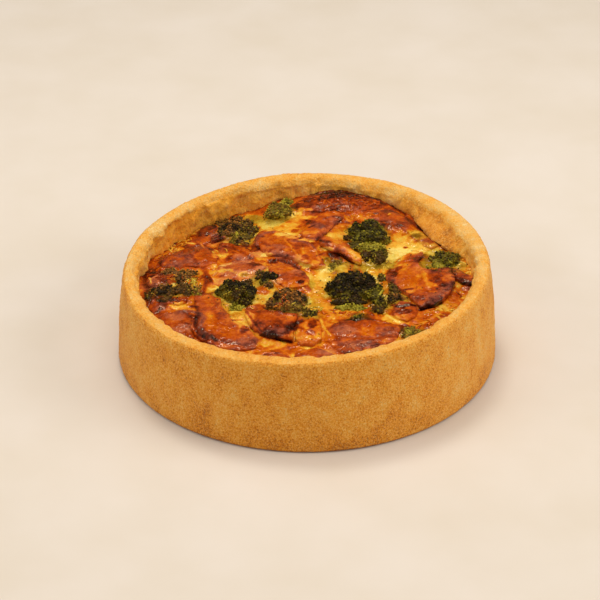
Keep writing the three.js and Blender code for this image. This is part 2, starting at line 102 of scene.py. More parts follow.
# --- How brown the top is, with painted shade in places ---
# The first key also carries painted shade: the dark spots and strokes marked below, and darkened slice
# edges and sides.
TONE_KEYS = ("browning_and_shade", "pinkness", "greenness")  # browning goes from pale, 0, to burnt, 1
TONES = {
    "cream": (0.0, 0.0, 0.0), "pale": (0.1, 0.0, 0.0), "yellow": (0.2, 0.0, 0.0),
    "gold": (0.31, 0.0, 0.0), "amber": (0.4, 0.0, 0.0), "orange": (0.48, 0.0, 0.0),
    "rust": (0.58, 0.0, 0.0), "red": (0.66, 0.0, 0.0), "brown": (0.76, 0.0, 0.0),
    "dark": (0.84, 0.0, 0.0), "black": (0.93, 0.0, 0.0),
    "peach": (0.32, 0.6, 0.0), "pink": (0.52, 0.7, 0.0), "mauve": (0.66, 0.8, 0.0),
    "purple": (0.77, 0.6, 0.0), "lime": (0.12, 0.0, 0.7), "green": (0.35, 0.0, 1.0),
    "olive": (0.6, 0.0, 1.0), "khaki": (0.42, 0.0, 0.45),
}
SLICE_TONES = {
    "slice_back": "brown", "slice_back_right": "red", "stem_back_right": "khaki",
    "slice_front_right_broad": "red", "slice_front_edge_right": "rust",
    "slice_front_edge_left": "rust", "slice_left_lump": "red", "slice_left_chunk": "pink",
    "slice_front_left_low": "red", "slice_front_left_arc": "red", "slice_dark_back_left": "red",
    "slice_red_back_left": "brown", "slice_brown_arch": "mauve", "slice_glossy_strip": "red",
    "slice_left_of_centre": "pink", "slice_lower_centre": "rust", "slice_centre": "rust",
    "slice_back_fold": "rust", "slice_ribbon": "orange", "slice_front_left": "rust",
    "slice_front_knob": "orange", "slice_front_centre": "red", "slice_right_knob": "rust",
    "slice_right_strip": "rust", "slice_right": "orange",
}
# How much of a slice's edge the custard has run up to: 0 stands free, 1 is sunk in.
SUNK = {
    "slice_right": 0.25, "slice_front_left": 0.3, "slice_front_centre": 0.2, "slice_centre": 0.35,
    "slice_ribbon": 0.2, "slice_brown_arch": 0.3, "slice_right_strip": 0.4, "slice_front_knob": 0.4,
    "slice_back_fold": 0.45, "slice_right_knob": 0.5, "slice_lower_centre": 0.6,
}
SUNK_OTHERS = 0.9
# Patches of the top: x, y, half widths along x and y, tone, strength. A few dark ones are painted shade,
# marked below.
SPOTS = [
    # custard
    (-12, 48, 12, 7, "gold", 0.9), (-20, 57, 10, 5, "lime", 0.9), (-29, 60, 7, 5, "green", 0.8),
    # (-6, 55) is painted shade in a dimple of the custard.
    (-6, 55, 4, 4, "orange", 0.6), (-6, 67, 5, 4, "pale", 0.9), (-2, 63, 8, 3, "yellow", 0.8),
    (17, 42, 7, 6, "gold", 0.9), (14, 51, 4, 4, "orange", 0.7), (-8, 42, 5, 4, "pale", 0.7),
    (8, -8, 7, 9, "yellow", 0.8), (5, -20, 6, 7, "gold", 0.9), (3, -10, 2.5, 5, "green", 0.7),
    (10, -31, 6, 5, "amber", 0.9), (12, -38, 7, 4, "orange", 0.8), (8, 6, 7, 4, "cream", 0.7),
    (-33, -46, 6, 11, "yellow", 1.0), (-40, -35, 5, 6, "lime", 0.8), (-25, -57, 4, 8, "amber", 0.8),
    (-67, -32, 6, 4, "yellow", 0.9), (-66, -29, 4, 2, "yellow", 0.9), (-19, -68, 8, 3, "gold", 0.95),
    (-46, 21, 6, 4, "yellow", 0.9), (-36, 8, 9, 5, "red", 0.7), (-42, 3, 6, 3, "yellow", 0.8),
    (-34, 1, 5, 3, "pale", 0.9), (-48, -13, 6, 3, "cream", 0.8), (-27, -8, 5, 6, "green", 0.6),
    (46, 36, 5, 8, "amber", 0.7), (52, 33, 8, 7, "yellow", 0.9), (56, 26, 6, 4, "cream", 0.9),
    (49, 24, 4, 4, "pale", 0.9), (60, 29, 7, 5, "yellow", 0.9), (47, 21, 6, 8, "cream", 0.9),
    (44, 10, 6, 6, "green", 0.8), (33, 8, 8, 7, "green", 0.8), (35, 2, 4, 4, "gold", 0.9),
    (36, -6, 4, 5, "cream", 0.8), (86, 13, 5, 5, "gold", 0.9), (84, -14, 5, 4, "rust", 0.9),
    (88, 2, 3, 6, "gold", 0.8), (70, -34, 5, 4, "yellow", 0.8), (62, -40, 6, 5, "orange", 0.7),
    (66, -47, 5, 4, "red", 0.8), (44, -45, 5, 4, "yellow", 0.8), (43, -66, 7, 2.5, "gold", 0.8),
    (53, -55, 5, 4, "rust", 0.6), (57, 50, 4, 4, "rust", 0.8), (61, 42, 4, 4, "olive", 0.7),
    (66, 36, 4, 3, "brown", 0.6), (-26, 22, 6, 4, "peach", 0.8), (-62, -14, 5, 9, "green", 0.5),
    (20, -36, 8, 4, "gold", 0.7),
    # browned patches, and painted shade where marked
    (54, 29, 1.6, 1.4, "brown", 0.9), (64, -44, 3.5, 3.5, "rust", 0.9), (71, -41, 3, 3, "red", 0.9),
    (77, -24, 5, 5, "rust", 0.9), (-50, 15, 3, 2.5, "red", 0.9), (-27, 10, 3.5, 2.2, "dark", 0.95),
    (-51, -7, 3, 4, "black", 0.8), (-45, -6, 5, 4, "peach", 0.7), (20, 57, 4, 2, "dark", 0.7),
    (-24, -17, 4, 7, "rust", 0.8), (20, 66, 26, 3, "rust", 0.7), (30, 62, 12, 3, "amber", 0.9),
    (-51, -12, 4, 3, "orange", 0.8), (-6, 47, 3, 2.5, "orange", 0.8), (27, 12, 3.5, 3, "cream", 0.7),
    (10, -72, 5, 3, "red", 0.8), (86, -13, 4, 3, "dark", 0.7), (49, -52, 4, 4, "black", 0.7),
    (-25, -33, 4, 3, "dark", 0.7), (-32, -55, 3, 4, "black", 0.8), (-72, -7, 5, 4, "black", 0.7),
    # (-83, 1) is painted shadow in the gap between the wall and the chunk.
    (-83, 1, 4, 5, "black", 0.8), (-68, -27, 4, 2.5, "black", 0.8), (46, 3, 3, 4, "black", 0.7),
    (-23, 54, 5, 4, "lime", 0.9), (-1, 51, 4, 2, "orange", 0.8), (-6, 48, 3, 1.6, "brown", 0.7),
    (-11, 62, 4, 3, "lime", 0.6), (-36, -41, 3.5, 3, "khaki", 0.8), (-41, -31, 4, 4, "lime", 0.8),
    (45, 18, 4, 4, "lime", 0.8), (4, -31, 4, 3, "khaki", 0.8), (88, 5, 3, 3, "yellow", 0.8),
    (82, 10, 3, 2.5, "green", 0.9), (-42, -1, 4, 3, "pink", 0.8), (-32, -51, 4, 3, "yellow", 0.8),
    (15, 42, 4, 3, "yellow", 0.8), (-10, 54, 6, 3, "yellow", 0.9), (-14, 43, 5, 2.5, "pale", 0.9),
    (49, 7, 3, 3, "dark", 0.8), (51, 13, 3, 2.5, "rust", 0.8), (26, 3, 2.5, 3, "olive", 0.8),
    (-33, 0, 3, 3, "olive", 0.6), (44, 54, 3, 3, "black", 0.7), (-76, -2, 4, 4, "dark", 0.7),
    (-39, -67, 5, 2.5, "dark", 0.7), (-32, -54, 3, 3, "red", 0.8), (3, 56, 3, 2, "black", 0.8),
    (17, 77, 4, 2.5, "black", 0.8),
    # slices
    (-15, 22, 7, 4.5, "pink", 0.8), (-6, 16, 6, 5, "peach", 0.7), (3, 18, 5, 16, "rust", 0.8),
    (-6, 26, 4, 8, "red", 0.6), (-18, 38, 7, 6, "rust", 0.6), (-17, 30, 6, 3, "mauve", 0.6),
    (-63, 20, 4, 6, "purple", 0.8), (-59, 13, 4, 3, "purple", 0.7), (-68, 13, 7, 4, "purple", 0.6),
    (-54, 20, 4, 8, "red", 0.7), (-70, 21, 5, 4, "purple", 0.8), (-52, -28, 6, 6, "rust", 0.8),
    (-47, -48, 6, 5, "rust", 0.7), (-40, -54, 5, 4, "red", 0.8), (-31, -66, 6, 5, "purple", 0.8),
    (-44, -60, 7, 4, "brown", 0.4), (-43, -36, 4, 8, "orange", 0.6), (-64, -54, 7, 5, "mauve", 0.8),
    (-68, -42, 6, 4, "mauve", 0.6), (-58, -43, 3.5, 2, "brown", 0.95), (-20, -43, 7, 4, "rust", 0.9),
    # (-8, -52) is painted shadow beside the front centre slice's right lip.
    (-16, -57, 9, 5, "purple", 0.9), (-8, -52, 4, 6, "dark", 0.8), (-6, -62, 5, 7, "amber", 0.8),
    (3, -49, 3.5, 5, "black", 0.8), (6, -63, 3, 5, "gold", 0.6), (18, -55, 8, 5, "mauve", 0.8),
    (24, -69, 9, 4, "purple", 0.8), (40, -56, 8, 5, "purple", 0.6), (28, -50, 8, 4, "red", 0.8),
    (10, -62, 4, 5, "orange", 0.9), (10, -76, 5, 3, "pink", 0.7), (52, -6, 7, 9, "rust", 0.9),
    (62, -8, 4, 8, "red", 0.7), (69, 0, 5, 8, "brown", 0.7), (60, -22, 6, 6, "brown", 0.7),
    (72, -14, 5, 6, "purple", 0.9), (66, -25, 5, 6, "purple", 0.9), (62, -33, 5, 2.5, "brown", 0.8),
    (44, -6, 3, 6, "purple", 0.8), (58, 17, 5, 4, "brown", 0.8), (50, -32, 6, 2, "black", 0.85),
    (49, -37, 5, 3, "black", 0.9), (51, -44, 5, 4, "orange", 0.8), (18, 90, 17, 3.2, "black", 0.95),
    (33, 86, 8, 2.5, "black", 0.9), (16, 76, 12, 4, "purple", 0.5), (-6, 83, 6, 6, "orange", 0.8),
    (-2, 72, 6, 3, "gold", 0.8), (46, 62, 8, 4, "rust", 0.8), (47, 71, 6, 3, "brown", 0.8),
    (6, 53, 5, 3, "purple", 0.9), (1, 46, 5, 3, "amber", 0.8), (0, 36, 5, 3, "cream", 0.8),
    (11, 28, 3, 3, "cream", 0.9), (-18, 12, 4, 2, "dark", 0.9), (-44, -41, 3.5, 4, "brown", 0.8),
    (70, -8, 4.5, 6, "black", 0.7), (-2, 9, 4, 3, "cream", 0.8), (-21, 21, 4, 2.5, "cream", 0.8),
    (79, 3, 4, 2.5, "khaki", 0.8), (-17, 15, 4, 2, "brown", 0.8), (-6, 2, 4, 3, "pink", 0.8),
    (-10, 10, 3, 3, "rust", 0.6), (-28, 10, 4, 2.5, "brown", 0.8), (-36, 18, 4, 3, "mauve", 0.6),
    (-47, 23, 4, 3, "amber", 0.8), (-59, 29, 4, 3, "purple", 0.7), (-71, 10, 5, 3, "purple", 0.9),
    (-63, 15, 4, 3, "purple", 0.8), (-54, -3, 3, 4, "dark", 0.8), (-39, 29, 3, 3, "black", 0.5),
    (-28, 29, 3, 4, "dark", 0.7), (4, 10, 3, 5, "gold", 0.8), (-4, 31, 4, 3, "brown", 0.7),
    (-26, 41, 3, 2.5, "black", 0.8), (-34, 31, 3, 3, "black", 0.7), (-2, 18, 3, 3, "dark", 0.7),
    (2, -58, 3, 3, "dark", 0.7), (-4, -54, 3, 3, "dark", 0.7), (45, 0, 3, 3, "black", 0.8),
    (67, -15, 3.5, 3, "dark", 0.8), (18, 22, 2.5, 3, "yellow", 0.8), (-3, -8, 3, 3, "black", 0.95),
    (-1, -16, 3, 5, "red", 0.9), (-16, -6, 3, 5, "peach", 0.8), (-10, -2, 6, 5, "brown", 0.6),
    (15, 20, 4, 4, "dark", 0.95), (21, 17, 3, 5, "rust", 0.9), (10, 36, 4, 2, "brown", 0.9),
    # (-42, 45) on this line and (-50, 38) on the next are painted shadow under and beside the arched slice.
    (-80, -10, 4, 6, "purple", 0.8), (-79, -17, 3, 2.5, "cream", 0.8), (-42, 45, 5, 2, "black", 0.8),
    (-50, 38, 4, 3, "black", 0.7), (-53, 53, 3, 5, "black", 0.8), (-44, 26, 5, 5, "brown", 0.6),
    (-35, 15, 5, 4, "mauve", 0.7), (85, -9, 5, 2, "black", 0.7),
]
# Creases, edges and ridges of the top: points, half width, height, tone, strength. Some dark ones are
# painted shadow, marked below.
STROKES = [
    ([(-66, -38), (-60, -37), (-55, -40), (-53, -44), (-55, -50), (-53, -57), (-49, -62)],
     1.5, 1.1, "purple", 1.0),
    ([(-57, -45), (-57, -52), (-55, -59), (-51, -64)], 1.2, -1.2, "black", 0.8),
    ([(-49, -62), (-46, -65)], 1.6, 0.8, "dark", 0.9),
    ([(-82, -29), (-80, -24), (-72, -23), (-62, -27)], 1.3, 0.8, "brown", 0.7),
    ([(-60, -33), (-57, -33)], 1.2, -0.8, "black", 0.9),
    ([(-31, -38), (-27, -49), (-22, -59)], 0.8, -0.5, "brown", 0.8),
    ([(-23, -60), (-16, -63), (-8, -67)], 1.3, -0.8, "black", 0.95),
    # painted shadow under the right lip of the front centre slice
    ([(-3, -47), (-9, -52), (-10, -58)], 1.5, -0.9, "black", 0.85),
    ([(-33, -32), (-25, -33), (-16, -38), (-6, -41)], 1.0, 0.6, "red", 0.7),
    ([(-20, 14), (-15, 15), (-9, 11), (-4, 6)], 1.1, -0.9, "black", 0.9),
    ([(-19, 16), (-14, 17), (-8, 13), (-3, 8)], 0.9, 0.6, "brown", 0.8),
    ([(-8, 36), (-2, 35), (3, 30), (5, 26)], 0.9, 0.5, "purple", 0.95),
    ([(-28, 33), (-27, 40), (-23, 45), (-18, 46)], 1.1, 0.8, "purple", 0.8),
    ([(-25, 34), (-20, 31)], 0.8, -0.7, "brown", 0.9),
    ([(-12, 38), (-8, 28), (-5, 20)], 0.5, 0.3, "gold", 0.7),
    ([(1, 32), (5, 24), (7, 14)], 0.6, 0.3, "gold", 0.6),
    ([(-45, 30), (-40, 28), (-35, 23), (-30, 17)], 0.8, -0.6, "dark", 0.8),
    ([(-48, 32), (-42, 32), (-36, 27), (-31, 21)], 1.2, 0.7, "red", 0.6),
    ([(-52, 42), (-47, 47), (-41, 50), (-37, 49)], 1.2, 0.7, "mauve", 0.9),
    # painted shadow underneath the arched slice
    ([(-50, 40), (-45, 44), (-40, 45)], 1.1, -1.0, "black", 0.85),
    ([(-80, 10), (-76, 17), (-70, 23), (-62, 30)], 1.2, 0.5, "brown", 0.8),
    ([(-64, 26), (-61, 18), (-58, 11)], 0.9, 0.5, "dark", 0.8),
    ([(-66, 34), (-61, 33)], 0.7, 0.5, "cream", 0.9),
    ([(-58, 34), (-56, 29)], 0.6, 0.4, "gold", 0.9),
    ([(-54, 3), (-53, -8), (-55, -18)], 1.4, 1.4, "brown", 0.95),
    ([(-85, 0), (-83, -5), (-82, -9)], 0.5, 0.6, "cream", 0.9),
    # painted shadow in the gap between the wall and the chunk
    ([(-86, 0), (-86, -8), (-84, -13)], 1.8, -1.0, "dark", 0.9),
    ([(0, 59), (4, 58)], 0.9, 0.5, "black", 0.9),
    ([(1, 51), (4, 53)], 0.8, 0.4, "black", 0.9),
    ([(9, 61), (15, 64), (21, 61)], 0.8, 0.6, "brown", 0.9),
    ([(17, 55), (20, 57), (25, 56)], 0.6, -0.5, "red", 0.8),
    ([(-6, 41), (-2, 43), (4, 43)], 0.8, 0.7, "rust", 0.9),
    ([(6, 26), (8, 33), (13, 33), (20, 29), (26, 22), (30, 14)], 1.4, 0.8, "gold", 0.5),
    ([(12, 22), (14, 19), (18, 16)], 1.1, -1.2, "black", 0.9),
    ([(19, 21), (22, 16), (25, 12)], 1.0, -1.0, "brown", 0.9),
    ([(7, 21), (9, 23)], 0.7, 0.3, "black", 0.8),
    ([(62, 3), (63, -6), (64, -13)], 1.5, 0.7, "gold", 0.55),
    ([(76, -9), (74, -15), (68, -21), (64, -27), (61, -33)], 2.0, 0.6, "purple", 0.7),
    ([(69, -29), (64, -33), (58, -36)], 1.2, -0.8, "black", 0.9),
    ([(43, 1), (44, -6), (48, -14), (53, -21)], 0.9, 0.6, "brown", 0.7),
    ([(47, 9), (51, 14), (56, 16), (58, 20), (66, 18)], 0.8, 0.4, "red", 0.7),
    ([(51, -16), (55, -15)], 0.9, 0.4, "black", 0.9),
    ([(46, -32), (52, -31), (56, -32)], 0.9, 0.6, "black", 0.8),
    ([(77, -2), (83, -5), (89, -9)], 1.0, 0.5, "brown", 0.7),
    ([(7, -45), (8, -52), (11, -60)], 0.8, 0.5, "yellow", 0.8),
    ([(-4, -55), (-7, -61), (-4, -67), (2, -68), (6, -65), (8, -58)], 0.9, 0.5, "gold", 0.7),
    ([(1, -58), (4, -60)], 0.7, -0.5, "red", 0.8),
    ([(36, 67), (41, 67)], 0.7, -0.7, "black", 0.9),
    ([(34, 60), (39, 60)], 0.6, -0.4, "dark", 0.7),
    ([(49, 55), (54, 47), (60, 36)], 0.5, -0.4, "brown", 0.8),
    # painted shadow where the back right slice meets the case
    ([(48, 77), (55, 66), (58, 57), (62, 50), (69, 42), (73, 31)], 1.4, -0.6, "dark", 0.85),
    ([(-3, -12), (0, -18)], 0.5, 0.3, "yellow", 0.8),
    ([(-37, -46), (-33, -46)], 0.5, 0.2, "black", 0.7),
    ([(41, -41), (46, -48)], 0.7, 0.4, "cream", 0.8),
    ([(63, -53), (68, -49), (73, -45)], 1.2, 0.5, "yellow", 0.9),
    ([(57, -50), (62, -46), (66, -42)], 1.1, 0.5, "gold", 0.9),
    ([(58, -57), (62, -55)], 1.4, -0.5, "olive", 0.8),
    ([(20, -72), (28, -67), (36, -65)], 0.8, 0.4, "mauve", 0.8),
    ([(14, -60), (22, -62), (34, -62), (44, -58)], 0.9, -0.4, "mauve", 0.5),
    ([(-28, 70), (-22, 75), (-16, 82), (-10, 88)], 0.9, 0.2, "rust", 0.7),
]


# --- Numbers ---
def linear(red, green, blue):
    """A colour written as on a screen, 0 to 255, as the shader wants it."""
    parts = [c / 255 for c in (red, green, blue)]
    return tuple(c / 12.92 if c <= 0.04045 else ((c + 0.055) / 1.055) ** 2.4 for c in parts) + (1.0,)


def bump(distance, width, power=2):
    """1 at distance 0, falling to 0 past the width, more squarely with a higher power."""
    return np.exp(-np.abs(distance / width) ** power)


def smooth(low, high, value):
    """An even step from 0 at low to 1 at high."""
    t = np.clip((value - low) / (high - low), 0, 1)
    return t * t * (3 - 2 * t)


def turn_from(angle, other):
    """The turn from one angle to another, from -pi to pi."""
    return np.arctan2(np.sin(angle - other), np.cos(angle - other))


def toward(az, at, width, power=2):
    """1 at an angle round the pie, falling to 0 past a width, both in degrees."""
    return bump(turn_from(az, math.radians(at)), math.radians(width), power)


def swells(az, table):
    return sum(out * toward(az, at, width) for at, width, out in table)


def heading(turn):
    return np.array([math.cos(turn), math.sin(turn)])


def from_patch(x, y, at, size):
    """Distance from the middle of an ellipse: 1 on the ellipse itself."""
    return np.hypot((x - at[0]) / size[0], (y - at[1]) / size[1])


HASH_AXES, HASH_SEED, HASH_MIX = np.array([374761393, 668265263, 1274126177]), 144665, 1103515245


def noise(points, pitch, seed):
    """Smooth noise from -1 to 1 with the given spacing of its lattice."""
    scaled = points / pitch
    cell = np.floor(scaled).astype(np.int64)
    t = scaled - cell
    t = t * t * (3 - 2 * t)
    total = np.zeros(len(points))
    for corner in np.ndindex(2, 2, 2):
        place = cell + corner
        mixed = place @ HASH_AXES + seed * HASH_SEED
        mixed = (mixed ^ (mixed >> 13)) * HASH_MIX
        mixed ^= mixed >> 16
        value = (mixed & 0xFFFF) / 0x7FFF - 1
        total += np.prod(np.where(corner, t, 1 - t), axis=1) * value
    return total


def rough(points, pitch, seed):
    """Noise with two finer layers on it."""
    return sum(noise(points, pitch / 2**i, seed + i) / 2**i for i in range(3)) / 1.5


def noises(kind, points, pitch, seeds):
    """One column of noise of a kind for each seed."""
    return np.stack([kind(points, pitch, seed) for seed in seeds], axis=1)


def folds(points, pitch, seed):
    """Creased noise from about -1 to 1: sharp ridges between rounded hollows."""
    bent = points + 0.35 * pitch * noises(noise, points, pitch, (seed + 7, seed + 8, seed + 9))
    return 1 - 2.6 * np.abs(noise(bent, pitch, seed)) - 0.9 * np.abs(noise(bent, pitch / 2.3, seed + 3))


def crust_relief(points):
    """The browned top's own wrinkles and blisters, in millimetres."""
    flat = points * [1, 1, 0.4]
    return 0.3 * folds(flat, 10, 201) + 0.16 * folds(flat, 4.2, 211) + 0.12 * noise(flat, 1.5, 221)


# --- The case and the filling as functions of place ---
def rim_height(az):
    tilt = RIM["tilt"] * np.cos(az - RIM["side"])
    lift = RIM["lift"] * toward(az, RIM["lift_side"], RIM["lift_width"])
    return RIM["height"] + tilt + RIM["sag"] * np.cos(2 * (az - RIM["sag_side"])) + lift


def outer_radius(az, z):
    return BASE_RADIUS - (BASE_RADIUS - RIM_RADIUS) * (z / RIM["height"]) ** 2 + SWELL * np.sin(2 * az + 1)


def by_slump(az, wider=1, power=4):
    """1 at the slumped lip, falling to 0 beside it."""
    return bump(turn_from(az, SLUMP["at"]), wider * SLUMP["width"], power)


def by_folds(az):
    return toward(az, FOLDS["at"], FOLDS["width"], 4)


def slump(az, z):
    """How far the lip hangs in over the filling."""
    lip = SLUMP["lip"]
    across = by_slump(az, power=3)
    over = np.maximum(0, (rim_height(az) - z) / (rim_height(az) - lip))
    below = SLUMP["under"] + (1 - SLUMP["under"]) * bump(z - lip, SLUMP["roll"])
    return SLUMP["depth"] * across * np.where(z > lip, over, below * smooth(SLUMP["fade"], lip, z))


def inner_radius(az, z):
    wall = WALL + WALL_SWELL * np.sin(5 * az + 2) * np.cos(2 * az)
    waves = FOLDS["depth"] * by_folds(az) * np.sin(FOLDS["count"] * az)
    waves = waves * bump(z - SLUMP["lip"], 12) * smooth(52, 44, z)
    return outer_radius(az, rim_height(az)) - wall - slump(az, z) - waves + swells(az, LEANS)


def fill_level(x, y):
    az = np.arctan2(y, x)
    out = np.minimum(1, np.hypot(x, y) / FILL["radius"])
    wall = FILL["wall"] + FILL["tilt"] * np.cos(az - FILL["side"])
    wall = wall + swells(az, HEAPS)
    level = FILL["centre"] + (wall - FILL["centre"]) * out**2
    for at, size, height in HUMPS:
        level = level + height * bump(from_patch(x, y, at, size), 1)
    return level


def settled(x, y):
    """How far the baked top has sunk below the solids."""
    return sum(deep * bump(np.hypot(x - at[0], y - at[1]), size, 4) for at, size, deep in SETTLED)


# --- The painted and modelled detail of the top ---
def read_place(points):
    """Where the line of sight through each point crosses the level at which the places were read."""
    eye = np.array(CAMERA_AT)
    along = (READ_LEVEL - eye[2]) / (points[:, 2] - eye[2])
    return (eye + (points - eye) * along[:, None])[:, :2]


def from_line(places, line):
    """Distance of each place from a line of several points."""
    nearest = np.full(len(places), np.inf)
    for start, end in zip(line, line[1:]):
        a, ab = np.array(start, float), np.subtract(end, start).astype(float)
        t = np.clip((places - a) @ ab / (ab @ ab), 0, 1)
        nearest = np.minimum(nearest, np.hypot(*(places - a - t[:, None] * ab).T))
    return nearest


def top_relief(points):
    """How much the strokes lift or sink each point."""
    places = read_place(points)
    lift = np.zeros(len(points))
    for line, width, height, *_ in STROKES:
        lift += height * bump(from_line(places, line), width)
    return lift


SPOT_EDGE = (0.6, 1.1)  # where a spot starts to fade and where it ends, in its own half widths
WANDER = {"spots": 2.0, "strokes": 0.6}  # how far the edges of spots and strokes stray


def painted(points, tone):
    """Browning with painted shade, pinkness and greenness of each point: its own tone under the spots and
    the strokes.
    """
    wobble = noises(rough, points, 6, (31, 47))
    blurred = 0.5 * rough(points, 2.6, 35)
    places = read_place(points) + WANDER["spots"] * wobble
    for x, y, across, deep, name, strength in SPOTS:
        far = from_patch(*places.T, (x, y), (across, deep))
        weight = strength * (1 - smooth(*SPOT_EDGE, far + blurred * smooth(0.2, 0.8, far)))
        tone = tone + weight[:, None] * (TONES[name] - tone)
    places = read_place(points) + WANDER["strokes"] * wobble
    for line, width, _, name, strength in STROKES:
        weight = strength * bump(from_line(places, line), width * (1.0 + 0.4 * blurred), 3)
        tone = tone + weight[:, None] * (TONES[name] - tone)
    return tone


# --- Meshes ---
def in_scene(name, data):
    """A new object of the scene."""
    thing = bpy.data.objects.new(name, data)
    bpy.context.scene.collection.objects.link(thing)
    return thing


def make_piece(name, points, faces, material, slot, values, replaces=()):
    """A mesh piece in the frame, from points in millimetres that are kept inside the CAD box."""
    mesh = bpy.data.meshes.new(name)
    inside_box = np.clip(points, LOW + BOX_GAP, HIGH - BOX_GAP)
    mesh.from_pydata((inside_box * MM).tolist(), [], faces)
    mesh.update()
    mesh.shade_smooth()
    for key, numbers in values.items():
        mesh.attributes.new(key, "FLOAT", "POINT").data.foreach_set("value", np.float32(numbers))
    mesh.materials.append(material)
    piece = in_scene(name, mesh)
    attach(piece, ROOT)
    if replaces:
        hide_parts(*replaces)


def tone_values(tone):
    """The attributes that the gratin's material reads, from tones."""
    return dict(zip(TONE_KEYS, np.clip(tone, 0, 1).T))


def grid_faces(rows, around, closed=True):
    """Quads between rows of points that lie one after another."""
    row, i = np.meshgrid(np.arange(rows - 1), np.arange(around if closed else around - 1), indexing="ij")
    a = (row * around + i).ravel()
    b = (row * around + (i + 1) % around).ravel()
    return np.stack([a, b, b + around, a + around], axis=1).tolist()


def end_faces(rows, around):
    """The faces that close the first and the last row."""
    last = (rows - 1) * around
    return [tuple(range(around))[::-1], tuple(range(last, last + around))]


def mesh_arrays(mesh):
    """The points in millimetres and the normals of a mesh."""
    points = np.empty(len(mesh.vertices) * 3, np.float32)
    mesh.vertices.foreach_get("co", points)
    normals = np.empty(len(mesh.vertices) * 3, np.float32)
    mesh.vertex_normals.foreach_get("vector", normals)
    return points.reshape(-1, 3).astype(float) / MM, normals.reshape(-1, 3).astype(float)


def refined(node, voxel, rounds):
    """Points, normals and faces of a CAD node's solid, rebuilt as an even, rounded mesh."""
    solid = NODES[node].data.copy()
    copy = in_scene("scratch", solid)
    remesh = copy.modifiers.new("even", "REMESH")
    remesh.mode, remesh.voxel_size = "VOXEL", voxel * MM
    rounding = copy.modifiers.new("round", "SMOOTH")
    rounding.factor, rounding.iterations = 0.5, rounds
    shaped = bpy.data.meshes.new_from_object(copy.evaluated_get(bpy.context.evaluated_depsgraph_get()))
    points, normals = mesh_arrays(shaped)
    faces = [tuple(face.vertices) for face in shaped.polygons]
    bpy.data.objects.remove(copy)
    for mesh in (solid, shaped):
        bpy.data.meshes.remove(mesh)
    return points, normals, faces


EDGE_STEP = 0.8  # the spacing of points along the edges of the slices
LEVEL, STEEP = 0.5, 0.4  # the least rise of a level face's normal, and the most of a steep one's


def rim_points(node):
    """Points along the edge of a CAD node's top: where a level face meets a steep one."""
    mesh = NODES[node].data
    slopes = {}
    for face in mesh.polygons:
        corners = [tuple(round(c / MM, 2) for c in mesh.vertices[i].co) for i in face.vertices]
        for pair in zip(corners, corners[1:] + corners[:1]):
            slopes.setdefault(tuple(sorted(pair)), []).append(face.normal.z)
    found = []
    for (start, end), steepness in slopes.items():
        if max(steepness) > LEVEL and min(steepness) < STEEP:
            steps = max(2, int(math.dist(start, end) / EDGE_STEP))
            found += [np.add(start, np.subtract(end, start) * t) for t in np.linspace(0, 1, steps)]
    return found


def nearest_among(places, points):
    """Which of the places is nearest to each point, and how far it is."""
    tree = KDTree(len(places))
    for i, place in enumerate(places):
        tree.insert(place, i)
    tree.balance()
    which, beside = zip(*(tree.find(point)[1:] for point in points))
    return np.array(which), np.array(beside)


# --- Materials ---
class Finish:
    """A material built from nodes; colours are written as on a screen."""

    def __init__(self, name, roughness, **settings):
        self.material = bpy.data.materials.new(name)
        self.material.use_nodes = True
        self.tree = self.material.node_tree
        self.shader = self.tree.nodes["Principled BSDF"]
        self.shader.inputs["Roughness"].default_value = roughness
        for key, value in settings.items():
            self.shader.inputs[key.replace("_", " ")].default_value = value
        self.place = self.node("ShaderNodeTexCoord").outputs["Object"]

    def node(self, kind, settings=(), **inputs):
        node = self.tree.nodes.new(kind)
        for key, value in dict(settings).items():
            setattr(node, key, value)
        for key, value in inputs.items():
            self.plug(node.inputs[key.replace("_", " ")], value)
        return node

    def plug(self, socket, value):
        if isinstance(value, bpy.types.NodeSocket):
            self.tree.links.new(value, socket)
        else:
            socket.default_value = value

    def attribute(self, name):
        return self.node("ShaderNodeAttribute", {"attribute_name": name}).outputs["Fac"]

    def math(self, operation, a, b):
        node = self.node("ShaderNodeMath", {"operation": operation})
        self.plug(node.inputs[0], a)
        self.plug(node.inputs[1], b)
        return node.outputs[0]

    def times(self, a, b):
        return self.math("MULTIPLY", a, b)

    def total(self, first, *others):
        for other in others:
            first = self.math("ADD", first, other)
        return first

    def swing(self, value, amount):
        """A value from 0 to 1 turned into one that goes either side of 0."""
        return self.times(self.math("SUBTRACT", value, 0.5), amount)

    def grain(self, size, detail=2.0, stretch=(1, 1, 1), shift=0.0, rough=0.5):
        """Noise from 0 to 1 whose features are about size millimetres."""
        mapping = self.node("ShaderNodeMapping", Vector=self.place)
        mapping.inputs["Scale"].default_value = [1 / s for s in stretch]
        mapping.inputs["Location"].default_value = [shift] * 3
        return self.node("ShaderNodeTexNoise", Vector=mapping.outputs[0], Scale=1 / (size * MM),
                         Detail=detail, Roughness=rough).outputs["Fac"]

    def ramp(self, value, stops):
        node = self.node("ShaderNodeValToRGB", Fac=value)
        elements = node.color_ramp.elements
        while len(elements) < len(stops):
            elements.new(1.0)
        for element, (at, colour) in zip(elements, stops):
            element.position = at
            element.color = linear(*colour) if isinstance(colour, tuple) else (colour,) * 3 + (1.0,)
        return node.outputs["Color"]

    def mix(self, amount, a, b):
        node = self.node("ShaderNodeMix", {"data_type": "RGBA"})
        self.plug(node.inputs[0], amount)
        for socket, value in ((node.inputs[6], a), (node.inputs[7], b)):
            self.plug(socket, linear(*value) if isinstance(value, tuple) and len(value) == 3 else value)
        return node.outputs[2]

    def finish(self, colour, height=None, relief=0.2, roughness=None):
        """relief is the depth of the bump in millimetres."""
        self.plug(self.shader.inputs["Base Color"], colour)
        if roughness is not None:
            self.plug(self.shader.inputs["Roughness"], roughness)
        if height is not None:
            node = self.node("ShaderNodeBump", Height=height, Distance=relief * MM, Strength=1.0)
            self.plug(self.shader.inputs["Normal"], node.outputs[0])
        return self.material


